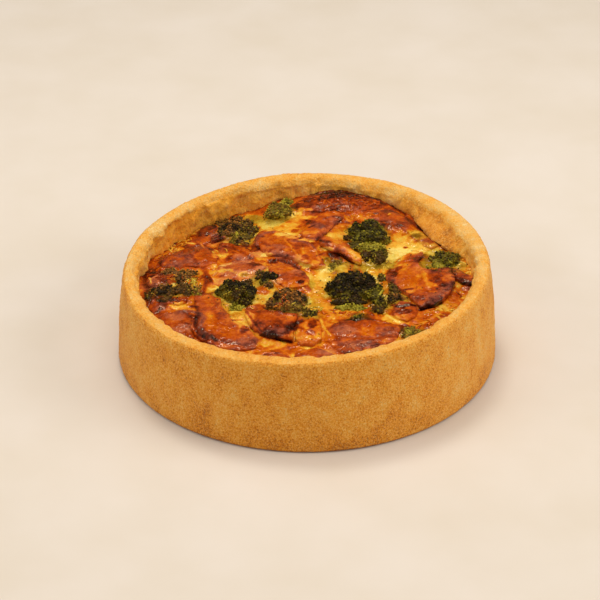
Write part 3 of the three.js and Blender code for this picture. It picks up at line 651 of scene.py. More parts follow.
def pastry_finish():
    """Browned shortcrust: blotches, grain, pits and pale fibres, and a damp inside; the toast it reads also
    holds painted shade and painted light.
    """
    look = Finish("pastry", 0.7, Specular_IOR_Level=0.2, Subsurface_Weight=0.08, Subsurface_Scale=0.002,
                  Subsurface_Radius=(1.0, 0.5, 0.2), Sheen_Weight=0.05, Sheen_Roughness=0.5)
    toast, grainy, damp = (look.attribute(name) for name in ("toast", "grainy", "damp"))
    blotches = look.swing(look.grain(8, 4, (1, 1, 1.3), shift=3), 0.62)
    speckles = look.swing(look.grain(0.85, 4, (1, 1, 1.2), rough=0.75), look.times(grainy, 1.9))
    colour = look.ramp(look.total(toast, blotches, speckles), [
        (0.0, (230, 200, 140)), (0.25, (217, 168, 90)), (0.5, (222, 152, 47)),
        (0.75, (206, 124, 16)), (1.0, (150, 80, 8)),
    ])
    pits = look.ramp(look.grain(1.1, 1, shift=7), [(0.0, 1.0), (0.24, 1.0), (0.3, 0.0), (1.0, 0.0)])
    colour = look.mix(look.times(pits, look.times(grainy, 0.4)), colour, (140, 78, 16))
    fibres = look.ramp(look.grain(1.5, 2, shift=12), [(0.455, 0.0), (0.5, 1.0), (0.545, 0.0)])
    colour = look.mix(look.times(fibres, 0.4), colour, (250, 200, 112))
    colour = look.mix(look.times(damp, 0.5), colour, (255, 170, 30))
    height = look.total(look.grain(1.1, 4, (1, 1, 1.3)), look.times(pits, -0.5), look.times(fibres, 0.07))
    return look.finish(colour, height, 0.8)


def gratin_finish():
    """Custard and baked slices: one scale of browning, with painted shade in it, read from the mesh, wet in
    places.
    """
    look = Finish("gratin", 0.3, Subsurface_Weight=0.12, Subsurface_Scale=0.003,
                  Subsurface_Radius=(1.0, 0.45, 0.15), Specular_Tint=(1.0, 0.8, 0.54, 1.0))
    brown, pink, green = (look.attribute(name) for name in TONE_KEYS)
    mottled = look.total(look.times(brown, 0.34), 0.26)
    value = look.total(brown, look.swing(look.grain(3.2, 4, shift=2, rough=0.6), mottled),
                       look.swing(look.grain(1.0, 3, shift=4), 0.2))
    colour = look.ramp(value, [
        (0.0, (230, 200, 104)), (0.14, (224, 178, 66)), (0.3, (214, 142, 30)), (0.46, (196, 95, 8)),
        (0.6, (168, 64, 5)), (0.74, (124, 41, 8)), (0.88, (72, 24, 8)), (1.0, (32, 12, 6)),
    ])
    colour = look.mix(pink, colour, look.ramp(value, [
        (0.0, (232, 192, 122)), (0.3, (220, 152, 82)), (0.55, (186, 104, 64)), (0.75, (128, 66, 48)),
        (0.9, (68, 31, 24)), (1.0, (32, 14, 10)),
    ]))
    colour = look.mix(green, colour, look.ramp(value, [
        (0.0, (220, 192, 86)), (0.25, (188, 152, 42)), (0.45, (136, 106, 18)), (0.65, (88, 64, 11)),
        (1.0, (30, 22, 9)),
    ]))
    specks = look.ramp(look.grain(0.8, 1, shift=5), [(0.0, 1.0), (0.2, 1.0), (0.24, 0.0), (1.0, 0.0)])
    colour = look.mix(look.times(specks, 0.6), colour, (60, 26, 14))
    height = look.total(look.grain(1.7, 1.5, shift=1), look.times(look.grain(4, 1), 1.3),
                        look.times(look.grain(0.8, 1, shift=6), 0.4))
    wet = look.grain(5, 2, shift=9)
    look.plug(look.shader.inputs["Specular IOR Level"], look.ramp(wet, [(0.44, 0.5), (0.6, 0.08)]))
    return look.finish(colour, height, 0.4, look.ramp(wet, [(0.44, 0.08), (0.6, 0.42)]))


def floret_finish(name, buds, green, stalk):
    """Baked broccoli: from dark buds through green to pale stalks, browned where it is toasted."""
    look = Finish(name, 0.5, Specular_IOR_Level=0.12, Subsurface_Weight=0.05, Subsurface_Scale=0.001)
    tone, toast = look.attribute("tone"), look.attribute("toast")
    colour = look.ramp(look.total(tone, look.swing(look.grain(0.9, 2), 0.35)), [
        (0.0, buds), (0.15, buds), (0.5, green), (1.0, stalk)])
    colour = look.mix(toast, colour, (164, 104, 40))
    return look.finish(colour, look.grain(0.5, 2), 0.15)


def floor_finish():
    look = Finish("floor", 0.8, Specular_IOR_Level=0.2)
    colour = look.ramp(look.grain(60, 3), [(0.3, (214, 200, 183)), (0.7, (209, 194, 174))])
    return look.finish(colour, look.grain(2, 2), 0.02)


# --- The pastry case ---
AROUND = 720  # points round the case
OUTSIDE, EDGE, TOP, INSIDE = range(4)  # what a row of points belongs to, from the foot up and back down
WALL_ROWS, INSIDE_ROWS = 54, 26
SEEN_FROM = 12  # no point of the inside lower than this can show
INSIDE_LOW = 33  # the lowest of the close rows inside
# How round the rim's inner edge is, how much more at the back and how much less over the slump.
SLOPE = {"round": 2.9, "back": 1.3, "slump": 1.4}
RIM_ROWS = (69, 86)  # the rows of points from the middle of the rim to below its inner edge
SOFTENED = 6  # rounds of smoothing over the slumped lip
VALLEY = {"under": 4.2, "half": 2.2, "deep": 1.3}  # the fold of the lip, measured from the rim down


def case_rows():
    """The case's rows of points, what each point belongs to, and how far out its rim reaches."""
    az = np.linspace(0, 2 * np.pi, AROUND, endpoint=False)
    top = rim_height(az)
    leans = swells(az, SPREADS)
    rows, kinds = [], []

    def row(radius, z, kind):
        rows.append(np.stack([radius * np.cos(az), radius * np.sin(az), z + 0 * az], axis=1))
        kinds.append(np.full(AROUND, kind))

    base = outer_radius(az, BOTTOM_ROUND)
    for part in (0.03, 0.25, 0.5, 0.75, 0.92):
        row(part * (base - BOTTOM_ROUND), 0, OUTSIDE)
    for turn in np.radians((0, 22, 45, 68)):
        row(base - BOTTOM_ROUND * (1 - np.sin(turn)), BOTTOM_ROUND * (1 - np.cos(turn)), OUTSIDE)
    for part in np.linspace(0, 1, WALL_ROWS):
        z = BOTTOM_ROUND + part * (top - RIM_ROUND - BOTTOM_ROUND)
        row(outer_radius(az, z) + leans * smooth(20, 52, z), z, OUTSIDE)
    outer = outer_radius(az, top) + leans
    for turn in np.radians((18, 36, 54, 72, 90)):
        row(outer - RIM_ROUND * (1 - np.cos(turn)), top - RIM_ROUND * (1 - np.sin(turn)),
            OUTSIDE if turn < 1 else EDGE)
    slope = SLOPE["round"] + SLOPE["back"] * np.sin(az) - SLOPE["slump"] * by_slump(az)
    inner = inner_radius(az, top - slope)
    across = outer - RIM_ROUND - inner - slope
    for part in (0.17, 0.33, 0.5, 0.67, 0.83):
        row(outer - RIM_ROUND - part * across, top + 0.25 * np.sin(np.pi * part), TOP)
    for turn in np.radians((90, 70, 50, 30, 12)):
        row(inner + slope * (1 - np.cos(turn)), top - slope * (1 - np.sin(turn)), TOP)
    for part in np.linspace(0, 1, INSIDE_ROWS):
        z = (top - slope) * (1 - part) + INSIDE_LOW * part
        row(inner_radius(az, z), z, INSIDE)
    for z in (26, 18, 10):
        row(inner_radius(az, z), z, INSIDE)
    row(inner_radius(az, 10.0) - CORNER_INSIDE, FLOOR, INSIDE)
    for part in (0.6, 0.3, 0.04):
        row(part * 80, FLOOR, INSIDE)
    return az, top, np.array(rows), np.concatenate(kinds), outer - RIM_ROUND, inner + 0.4


def softened_lip(rows, az):
    """The rows with the rim's inner edge evened out over the slumped lip."""
    amount = 0.5 * by_slump(az, 1.3)[None, :, None]
    first, last = RIM_ROWS
    for _ in range(SOFTENED):
        middle = (rows[first - 1:last - 1] + rows[first + 1:last + 1]) / 2
        rows[first:last] += amount * (middle - rows[first:last])
    return rows


def case_toast_and_shade(points, turn, wall, inside, on_rim, ragged, valley, depth, sunken):
    """How browned the pastry is, from 0 to 1, with painted shade and painted light added in places."""
    height = points[:, 2]
    # foot darkens the wall's very bottom edge: a painted contact shadow.
    foot, low, lowest = smooth(1.7, 0.3, height), smooth(34, 4, height), smooth(20, 0, height)
    back, back_left = toward(turn, 100, 24), toward(turn, 140, 20, 4)
    front_left, front = toward(turn, -110, 45, 4), smooth(0.2, -0.8, np.sin(turn))
    shaded_below_rim, below_lip = smooth(1.0, 2.6, depth), smooth(49.5, 45, height)
    stains = 0.16 * rough(points, 18, 48) + 0.02
    dough = 0.2 * rough(points, 5, 45) + 0.16 * noise(points, 1.9, 46)
    blotches = 0.1 * rough(points, 22, 43) + 0.09 * wall * noise(points, 9, 44)

    # The abs(cos) term makes the rim paler at its left and right sides: painted light.
    toast = 0.5 + 0.06 * wall - (0.04 + 0.1 * np.abs(np.cos(turn))) * on_rim + blotches
    # The cosine term makes the wall a little paler on the right than on the left: painted light.
    toast += wall * (0.05 * lowest - 0.02 * np.cos(turn - 0.2) + 0.4 * foot + 0.06 * front_left
                     + low * stains)
    # back makes the inner wall paler at the back, where it faces the front: painted light.
    toast += inside * (0.14 * by_slump(turn, 1.3, 2) - 0.22 * back + 0.1 * rough(points, 12, 41)
                       # The ragged term darkens the inner wall in its hollows: painted shade.
                       + 0.2 * dough + 0.1 * ragged)
    # The inner wall at the back-left is darker below the rim: a painted shadow under the rim.
    toast += (1 - wall) * (0.6 * dough + 0.16 * back_left * shaded_below_rim)
    # The valley term darkens the fold under the slumped lip: painted shade in the crease.
    return toast + 0.2 * valley + 0.3 * sunken * below_lip + 0.09 * on_rim * front


def pastry_case():
    az, top, rows, kind, rim_from, rim_to = case_rows()
    count = len(rows)
    points = rows.reshape(-1, 3)
    turn = np.arctan2(points[:, 1], points[:, 0])
    outward = np.stack([np.cos(turn), np.sin(turn), 0 * turn], axis=1)
    shows = points[:, 2] > SEEN_FROM
    wall, inside = 1.0 * (kind == OUTSIDE), 1.0 * (kind == INSIDE) * shows
    on_rim = 1.0 * ((kind == EDGE) | (kind == TOP))

    dents = 0.24 * rough(points, 26, 3) + 0.2 * rough(points, 7, 8)
    streaks = 0.1 * noise(points * [1, 1, 0.35], 4.5, 15)
    grains = 0.18 * noise(points, 1.7, 21) + 0.12 * noise(points, 1.0, 22)
    outer_push = dents + streaks + grains - 0.45 * smooth(0, 14, points[:, 2])
    ragged = 0.6 * folds(points, 13, 5) + 0.8 * rough(points, 6, 6) + 0.5 * noise(points, 2.7, 16) - 0.5
    ragged += 1.0 * (bump(points[:, 2] - 49, 2) * by_slump(turn)) + 0.3
    inward = smooth(np.tile(rim_from, count), np.tile(rim_to, count), np.hypot(points[:, 0], points[:, 1]))
    inward = np.where(kind == INSIDE, 1.0, np.where(kind == TOP, inward, 0.0)) * shows
    push = (1 - inward) * outer_push * smooth(0.2, 2.5, points[:, 2]) + inward * (ragged + grains)
    draped = points * [1, 1, 0.45]
    puckers = by_folds(turn) * inside * smooth(52, 46, points[:, 2])
    push += puckers * (1.3 * folds(draped, 15, 9) + 0.45 * folds(draped, 4, 19)) - 0.5 * inside
    push += inside * smooth(52, 47, points[:, 2]) * 0.5 * folds(draped, 5, 29)
    points = points + outward * push[:, None]
    crags = 0.45 * rough(points, 14, 11) + 0.3 * noise(points, 4, 12) + 1.5 * grains - 0.15
    points[:, 2] += on_rim * crags

    points = softened_lip(points.reshape(count, AROUND, 3), az).reshape(-1, 3)
    depth = np.tile(top, count) - points[:, 2]
    valley = bump(depth - VALLEY["under"], VALLEY["half"]) * by_slump(turn, 1.3)
    valley *= (kind >= TOP) * (0.8 + 0.5 * rough(points, 9, 71))
    points -= VALLEY["deep"] * valley[:, None] * (0.75 * np.array([0, 0, 1.0]) - 0.66 * outward)

    sunken = by_slump(turn, 1.2) * inside
    toast = case_toast_and_shade(points, turn, wall, inside, on_rim, ragged, valley, depth, sunken)
    damp = inside * (0.55 + 0.45 * toward(turn, 112, 40, 4)) * (1 - 0.7 * by_slump(turn, 1.2))
    values = {"toast": toast, "grainy": 1 - 0.35 * (1 - wall) - 0.25 * sunken, "damp": damp}
    faces = grid_faces(count, AROUND) + end_faces(count, AROUND)
    make_piece("crust", points, faces, pastry_finish(), "pastry", values, ["pastry_case"])


# --- What small things lie on ---
SKY = 90  # a height above everything


class Ground:
    """The finished top of the filling, for finding its height."""

    def __init__(self):
        self.points, self.faces, self.tree = [], [], None

    def add(self, points, faces):
        first = len(self.points)
        self.points += points.tolist()
        self.faces += [[first + i for i in face] for face in faces]

    def hit(self, start, along):
        if self.tree is None:
            self.tree = BVHTree.FromPolygons(self.points, self.faces)
        place = self.tree.ray_cast(start, along)[0]
        return None if place is None else np.array(place)

    def below(self, x, y):
        """The highest point of the top at x, y, or None outside it."""
        return self.hit((x, y, SKY), (0, 0, -1))

    def seen(self, x, y):
        """The point that shows at a place read on the level READ_LEVEL."""
        return self.hit(CAMERA_AT, np.array([x, y, READ_LEVEL]) - CAMERA_AT)


ground = Ground()


# --- The custard ---
SIDE = 300  # points along each side of the custard's grid
CUSTARD_LOW, CUSTARD_TAPER = 6.5, 0.93  # the height of its flat underside, and how much narrower that is
TUCK = 0.35  # how far the custard reaches into the case's wall
EDGE_LEVEL = 88  # the distance from the centre at which the custard's edge takes its level
SHORE = {"over": 0.05, "dip": 0.3, "reach": 2.6}  # how the custard runs up to the slices that it covers
BARE_TONE = (0.44, 0, 0)
FLORET_NAMES = [name for name in NODES if name.startswith("floret")]


def joined_tree(names):
    """The surfaces of several CAD nodes as one tree."""
    points, faces = [], []
    for name in names:
        mesh = NODES[name].data
        first = len(points)
        points += [Vector(v.co) / MM for v in mesh.vertices]
        faces += [[first + i for i in face.vertices] for face in mesh.polygons]
    return BVHTree.FromPolygons(points, faces)


def off_surface(tree, points, reach=12.0):
    """Distance of each point outside a solid, up to reach, and negative inside it."""
    result = np.full(len(points), reach)
    for i, p in enumerate(points):
        hit = tree.find_nearest(p, reach)
        if hit[0] is not None:
            inward = (Vector(p) - hit[0]).dot(hit[1]) < 0
            result[i] = -hit[3] if inward else hit[3]
    return result


def disc_grid(side):
    """An even grid on a disc of radius 1, by rows."""
    a, b = np.meshgrid(np.linspace(-1, 1, side), np.linspace(-1, 1, side), indexing="ij")
    a, b = a.ravel(), b.ravel()
    flat = np.abs(a) > np.abs(b)
    radius = np.where(flat, a, b)
    with np.errstate(divide="ignore", invalid="ignore"):
        angle = np.where(flat, np.pi / 4 * b / a, np.pi / 2 - np.pi / 4 * a / b)
    angle = np.nan_to_num(angle)
    return radius * np.cos(angle), radius * np.sin(angle)


def slice_edges():
    """Points along the edges of all slices, with each one's tone and how sunk its slice is."""
    points, tones, sunk = [], [], []
    for name, tone in SLICE_TONES.items():
        found = rim_points(name)
        points += found
        tones += [TONES[tone]] * len(found)
        sunk += [SUNK.get(name, SUNK_OTHERS)] * len(found)
    return np.array(points), np.array(tones), np.array(sunk)


def custard_solid(points, tone):
    """The grid of the top, closed with a skirt and a flat underside."""
    faces = grid_faces(SIDE, SIDE, closed=False)
    index = np.arange(SIDE * SIDE).reshape(SIDE, SIDE)
    border = np.concatenate([index[0, :-1], index[:-1, -1], index[-1, :0:-1], index[:0:-1, 0]])
    under = points[border] * [CUSTARD_TAPER, CUSTARD_TAPER, 0] + [0, 0, CUSTARD_LOW]
    lower = len(points) + np.arange(len(border))
    skirt = np.stack([border, lower, np.roll(lower, -1), np.roll(border, -1)], axis=1)
    faces = [face[::-1] for face in faces] + skirt[:, ::-1].tolist() + [lower.tolist()]
    return np.concatenate([points, under]), faces, np.concatenate([tone, tone[border]])


def custard_top(finish):
    x, y = disc_grid(SIDE)
    turn = np.arctan2(y, x)
    level = fill_level(EDGE_LEVEL * np.cos(turn), EDGE_LEVEL * np.sin(turn))
    reach = inner_radius(turn, level + 0.4) + TUCK
    x, y = x * reach, y * reach
    flat = np.stack([x, y, 0 * x], axis=1)
    points = np.stack([x, y, fill_level(x, y)], axis=1)
    in_slice = off_surface(joined_tree(SLICE_TONES), points) <= 0
    near_floret = off_surface(joined_tree(FLORET_NAMES), points)
    edges, slice_tones, sunk = slice_edges()
    which, beside = nearest_among(edges * [1, 1, 0], flat)
    covers = sunk[which] * smooth(-0.9, 0.1, rough(flat, 11, 55))
    relief = 0.5 * rough(flat, 14, 51) + 1.3 * crust_relief(points)
    points[:, 2] += relief * (1 - 0.6 * bump(beside, 1.5) * covers)
    shore = edges[which, 2] + SHORE["over"] - SHORE["dip"] * np.where(in_slice, beside, 0)
    climb = covers * np.where(in_slice, 1 - smooth(0.8, 1.6, beside), bump(beside, SHORE["reach"]))
    points[:, 2] += np.maximum(0, shore - points[:, 2]) * climb
    points[:, 2] += 1.0 * bump(near_floret, 1.4)
    points[:, 2] += top_relief(points)
    edge = reach - np.hypot(x, y)
    points[:, 2] += 0.3 * bump(edge, 1.2) - settled(x, y)

    tone = np.tile(BARE_TONE, (len(points), 1))
    tone = tone + (covers * bump(beside, 3.5))[:, None] * (slice_tones[which] - tone)
    # A thin band along the slices' free edges is darker: browning and painted shade in the groove.
    tone[:, 0] += 0.16 * bump(beside, 0.7) * (1 - 0.7 * covers)
    tone[:, 0] += 0.2 * rough(flat, 7, 61) + 0.12 * rough(flat, 2.2, 65) + 0.26 * relief
    tone[:, 2] += 0.75 * bump(np.maximum(near_floret, 0), 3.0)
    tone = painted(points, tone)
    tone[:, 0] += 0.3 * bump(edge, 1.4) + 0.08 * relief + 0.05 * rough(flat, 2.2, 67)
    points, faces, tone = custard_solid(points, tone)
    ground.add(points, faces)
    make_piece("set_custard", points, faces, finish, "custard", tone_values(tone), ["custard"])


# --- The slices ---
SLICE_MESH = (0.62, 2)  # the spacing of a slice's mesh and how many times it is rounded


def baked_slice(name, finish):
    points, normals, faces = refined(name, *SLICE_MESH)
    sunk = SUNK.get(name, SUNK_OTHERS)
    edge = nearest_among(rim_points(name), points)[1]
    up = smooth(0.1, 0.7, normals[:, 2])
    points = points + normals * (0.28 - 0.18 * sunk + 0.14 * noise(points, 1.7, 75))[:, None]
    points[:, :2] += 1.1 * noises(rough, points, 8, (81, 85))
    points[:, :2] += 0.8 * bump(edge, 2.2)[:, None] * noises(noise, points, 2.9, (87, 88))
    relief = crust_relief(points)
    lip = (0.4 - 0.55 * sunk) * bump(edge, 1.3) * (1 + 0.8 * rough(points, 6, 77))
    points[:, 2] += up * (0.6 * relief + lip + top_relief(points))
    points[:, 2] -= settled(points[:, 0], points[:, 1])

    tone = np.tile(TONES[SLICE_TONES[name]], (len(points), 1))
    tone[:, 0] += 0.1 * rough(points, 8, 91) + 0.08 * rough(points, 2.2, 93) + 0.2 * relief
    tone = painted(points, tone)
    # The edges are darkened: partly browning, partly painted shade at their grooves.
    charred_and_shaded = bump(edge, 1.3) * smooth(-0.3, 0.6, rough(points, 7, 95))
    broad = bump(edge, 5.5) * smooth(-0.5, 0.8, rough(points, 16, 97))
    tone[:, 0] += (0.26 * (1 - 0.7 * sunk) * charred_and_shaded + 0.2 * broad + 0.07 * relief - 0.05
                   # The last term darkens the steep and downward-facing sides: painted shade.
                   + 0.08 * smooth(0.4, -0.2, normals[:, 2]))
    tone[:, 1] += 0.35 * broad
    ground.add(points, faces)
    slot = "stem" if name.startswith("stem") else "baked_slice"
    make_piece("baked_" + name, points, faces, finish, slot, tone_values(tone), [name])


# --- The florets ---
# Looks: the record's slot, bud, green and stalk colours, how green the buds are, and how toasted.
LOOKS = {
    "dark": ("broccoli_dark", (36, 26, 5), (104, 88, 12), (168, 142, 34), 0.06, 0.08),
    "green": ("broccoli_green", (44, 34, 5), (122, 108, 16), (178, 158, 44), 0.2, 0.1),
    "toasted": ("broccoli_toasted", (42, 27, 6), (104, 78, 14), (160, 124, 34), 0.06, 0.45),
    "olive": ("broccoli_olive", (78, 58, 8), (140, 116, 22), (186, 162, 52), 0.25, 0.15),
}
FLORET_LOOKS = {
    "floret_back_right": "green", "floret_front_tail": "green", "floret_wall": "green",
    "floret_front_small": "green", "floret_front_right": "green", "floret_front": "toasted",
    "floret_far_left": "toasted", "floret_left_edge": "toasted", "floret_far_back": "toasted",
    "floret_low_left": "toasted", "floret_by_slice": "toasted", "floret_back": "olive",
    "floret_sunk": "olive",
}
# Greener parts of the crowns: x, y, half widths along x and y, greenness.
GREENER = [
    (32, -20, 5, 5, 0.5), (24, -29, 9, 3, 0.8), (37, 30, 9, 5, 0.55), (33, 45, 9, 4, 0.4),
    (40, 22, 6, 4, 0.5), (-38, -22, 10, 5, 0.75), (-44, -14, 5, 4, 0.5), (-7, -33, 8, 4, 0.6),
    (-11, 79, 5, 3, 0.9), (-18, 66, 8, 4, 0.4), (75, 13, 9, 4, 0.5), (70, 10, 3, 6, 0.9),
    (-33, 49, 5, 5, 0.4), (-22, -9, 5, 3, 0.5), (42, -30, 6, 4, 0.5), (-68, -22, 5, 3, 0.5),
]
# How far the crowns shift from their solids.
SHIFTS = {"floret_left": (1.5, 0.5, -0.7), "floret_centre": (1, -0.5, 0), "floret_front": (-1.8, 0, 0),
          "floret_back_right": (0, -1.5, 0), "floret_wall": (1.8, 0.2, -1.7)}
FLORET_MESH = (0.8, 3)  # the spacing of a crown's mesh and how many times it is rounded
CLUSTER = {"apart": 4.1, "reach": 0.68, "lift": 2.2, "sink": 1.7}  # the rounded groups of buds
BUD = {"spacing": 0.98, "size": 0.58, "down": -0.35}  # no bud grows where the crown faces further down
STEMS = {"radius": 0.85, "sides": 7, "steps": 6, "each_mm": 0.45}


def ball(rounds):
    """Points and faces of a ball of radius 1."""
    shape = bpy.data.meshes.new("scratch")
    work = bmesh.new()
    bmesh.ops.create_icosphere(work, subdivisions=rounds, radius=1)
    work.to_mesh(shape)
    work.free()
    points = np.array([v.co for v in shape.vertices])
    faces = np.array([face.vertices for face in shape.polygons])
    bpy.data.meshes.remove(shape)
    return points, faces


BUD_POINTS, BUD_FACES = ball(1)


def spread(points, spacing, random):
    """A choice of the points that keeps them at least spacing apart."""
    taken, cells = [], {}
    for i in random.permutation(len(points)):
        cell = tuple(np.floor(points[i] / spacing).astype(int))
        near = [j for offset in np.ndindex(3, 3, 3) for j in
                cells.get(tuple(c + o - 1 for c, o in zip(cell, offset)), ())]
        if all(np.sum((points[i] - points[j]) ** 2) >= spacing**2 for j in near):
            taken.append(i)
            cells.setdefault(cell, []).append(i)
    return np.array(taken)


def arc(start, bend, end):
    """A path from start to end that is drawn towards bend."""
    t = np.linspace(0, 1, STEMS["steps"])[:, None]
    return (1 - t) ** 2 * start + 2 * t * (1 - t) * bend + t**2 * end


def tube(path, radii, sides=STEMS["sides"]):
    """Points and faces of a closed tube round a path."""
    path = np.array(path, float)
    along = np.gradient(path, axis=0)
    along /= np.linalg.norm(along, axis=1)[:, None]
    aside = np.cross(along, [0.3, 0.2, 1.0])
    aside /= np.linalg.norm(aside, axis=1)[:, None]
    other = np.cross(along, aside)
    turn = np.linspace(0, 2 * np.pi, sides, endpoint=False)[None, :, None]
    rings = path[:, None] + np.reshape(radii, (-1, 1, 1)) * (
        np.cos(turn) * aside[:, None] + np.sin(turn) * other[:, None])
    return rings.reshape(-1, 3), grid_faces(len(path), sides) + end_faces(len(path), sides)


class Heap:
    """Many small meshes gathered into one, each with its own values."""

    def __init__(self, *keys):
        self.points, self.faces, self.count = [], [], 0
        self.values = {key: [] for key in keys}

    def add(self, points, faces, **values):
        self.points.append(points)
        self.faces += [[self.count + i for i in face] for face in faces]
        self.count += len(points)
        for key, value in values.items():
            self.values[key].append(np.broadcast_to(value, len(points)))

    def make(self, name, finish, slot, replaces=()):
        values = {key: np.clip(np.concatenate(parts), 0, 1) for key, parts in self.values.items()}
        make_piece(name, np.concatenate(self.points), self.faces, finish, slot, values, replaces)


def clustered(core, normals, shown, random):
    """The crown's points gathered in rounded clusters, and how far each is up its own cluster."""
    clusters = core[spread(core, CLUSTER["apart"], random)]
    which, beside = nearest_among(clusters, core)
    dome = np.sqrt(np.maximum(0, 1 - (beside / (CLUSTER["reach"] * CLUSTER["apart"])) ** 2))
    apart = random.uniform(-1.4, 1.0, len(clusters))[which]
    out = (CLUSTER["lift"] + apart) * dome - CLUSTER["sink"] + 0.9 * rough(core, 5, 111)
    return core + normals * (out * shown)[:, None], dome


def greenness(core, rise, green):
    """How green each point of a crown is: more so low down and on its greener parts."""
    places = read_place(core)
    greener = green + 0.4 * smooth(0.45, 0.0, rise)
    for x, y, across, deep, amount in GREENER:
        greener = np.maximum(greener, amount * bump(from_patch(*places.T, (x, y), (across, deep)), 1, 4))
    return greener


def floret(name, finishes, seed):
    look = FLORET_LOOKS.get(name, "dark")
    slot, _, _, _, green, toasted = LOOKS[look]
    random = np.random.default_rng(seed)
    core, normals, faces = refined(name, *FLORET_MESH)
    core += SHIFTS.get(name, (0, 0, 0))
    level = fill_level(core[:, 0], core[:, 1])
    low, high = level.mean(), core[:, 2].max()
    shown = core[:, 2] > level - 0.8
    core, dome = clustered(core, normals, shown, random)
    rise = (core[:, 2] - low) / (high - low)
    greener = greenness(core, rise, green)
    patches = np.clip(smooth(0.2, 0.7, rough(core, 4, 101) + toasted) * 1.6 * toasted, 0, 0.8)
    gaps = 0.12 + 0.4 * smooth(0.7, 0.2, rise)
    heap = Heap("tone", "toast")
    heap.add(core, faces, tone=0.6 * greener + (1 - dome) * gaps, toast=0.5 * patches)
    ground.add(core, faces)

    chosen = spread(core, BUD["spacing"], random)
    chosen = chosen[shown[chosen] & (normals[chosen, 2] > BUD["down"])]
    chosen = chosen[(dome[chosen] > 0.35) | (rise[chosen] > 0.6)]
    for i in chosen:
        size = BUD["size"] * random.uniform(0.7, 1.35)
        centre = core[i] + normals[i] * random.uniform(-0.2, 0.5)
        cos, sin = heading(random.uniform(0, 2 * np.pi))
        turned = BUD_POINTS @ np.array([[cos, -sin, 0], [sin, cos, 0], [0, 0, 1]])
        tone = greener[i] * random.uniform(0.4, 1.3) + 0.5 * random.uniform(0, 1) ** 3
        # Buds low in their cluster are made darker: painted shade between the clusters.
        tone *= 0.3 + 0.7 * dome[i]
        heap.add(centre + turned * size * random.uniform(0.85, 1.15, 3), BUD_FACES,
                 tone=tone, toast=patches[i] * random.uniform(0, 1.5))
    foot = core[shown].mean(axis=0) * [1, 1, 0] + [0, -0.32 * np.ptp(core[:, 1]), low - 2]
    for _ in range(int(np.ptp(core[:, 0]) * STEMS["each_mm"])):
        top = core[random.choice(chosen)] + [0, 0, -1.2]
        bend = 0.5 * (top + foot) + random.uniform(-1, 1, 3) - [0, 1.2, 0.3]
        radii = STEMS["radius"] * random.uniform(0.7, 1.2) * np.linspace(1.3, 0.7, STEMS["steps"])
        heap.add(*tube(arc(foot, bend, top), radii), tone=random.uniform(0.7, 1.0), toast=0.0)
    heap.make("buds_" + name, finishes[look], slot, [name])


# --- Small things on the top ---
# Shreds baked onto the top: x, y, half widths of the patch, number, length, tone.
SHREDS = [
    (65, -43, 9, 9, 22, 5, "amber"), (72, -34, 6, 4, 8, 5, "gold"), (62, -52, 8, 4, 12, 5, "rust"),
    (-68, -4, 12, 7, 34, 4, "rust"), (-62, -14, 5, 8, 16, 7, "green"), (-14, -22, 9, 6, 22, 3, "orange"),
    (-17, -29, 6, 3, 12, 4, "brown"), (46, 17, 5, 8, 4, 5, "pale"), (36, 9, 8, 5, 5, 5, "lime"),
    (14, -38, 10, 4, 14, 5, "orange"), (-44, 6, 8, 7, 4, 5, "peach"), (76, -22, 5, 5, 5, 4, "rust"),
    (32, 63, 16, 3, 12, 6, "orange"), (15, 88, 20, 3, 50, 5, "dark"), (25, 80, 20, 5, 40, 5, "red"),
    (-46, 22, 6, 6, 5, 5, "gold"), (0, -35, 9, 5, 10, 4, "green"), (28, -72, 12, 3, 12, 5, "mauve"),
    (85, 8, 4, 8, 10, 4, "yellow"), (-80, 2, 5, 7, 14, 4, "brown"), (-78, 18, 5, 4, 14, 5, "rust"),
    (-71, 28, 5, 5, 16, 5, "gold"), (-66, 38, 5, 5, 16, 6, "amber"), (-62, 46, 4, 5, 14, 6, "gold"),
    (-47, 60, 6, 4, 18, 6, "amber"),
]
# Dark crumbs: x, y, half widths of the patch, number.
CRUMBS = [
    (0, 0, 84, 78, 190), (60, -8, 14, 22, 26), (-45, -45, 16, 20, 26), (-18, -48, 14, 12, 16),
    (28, -58, 18, 12, 20), (-66, 0, 14, 14, 40), (-62, 22, 14, 12, 24), (-10, 12, 16, 16, 14),
]
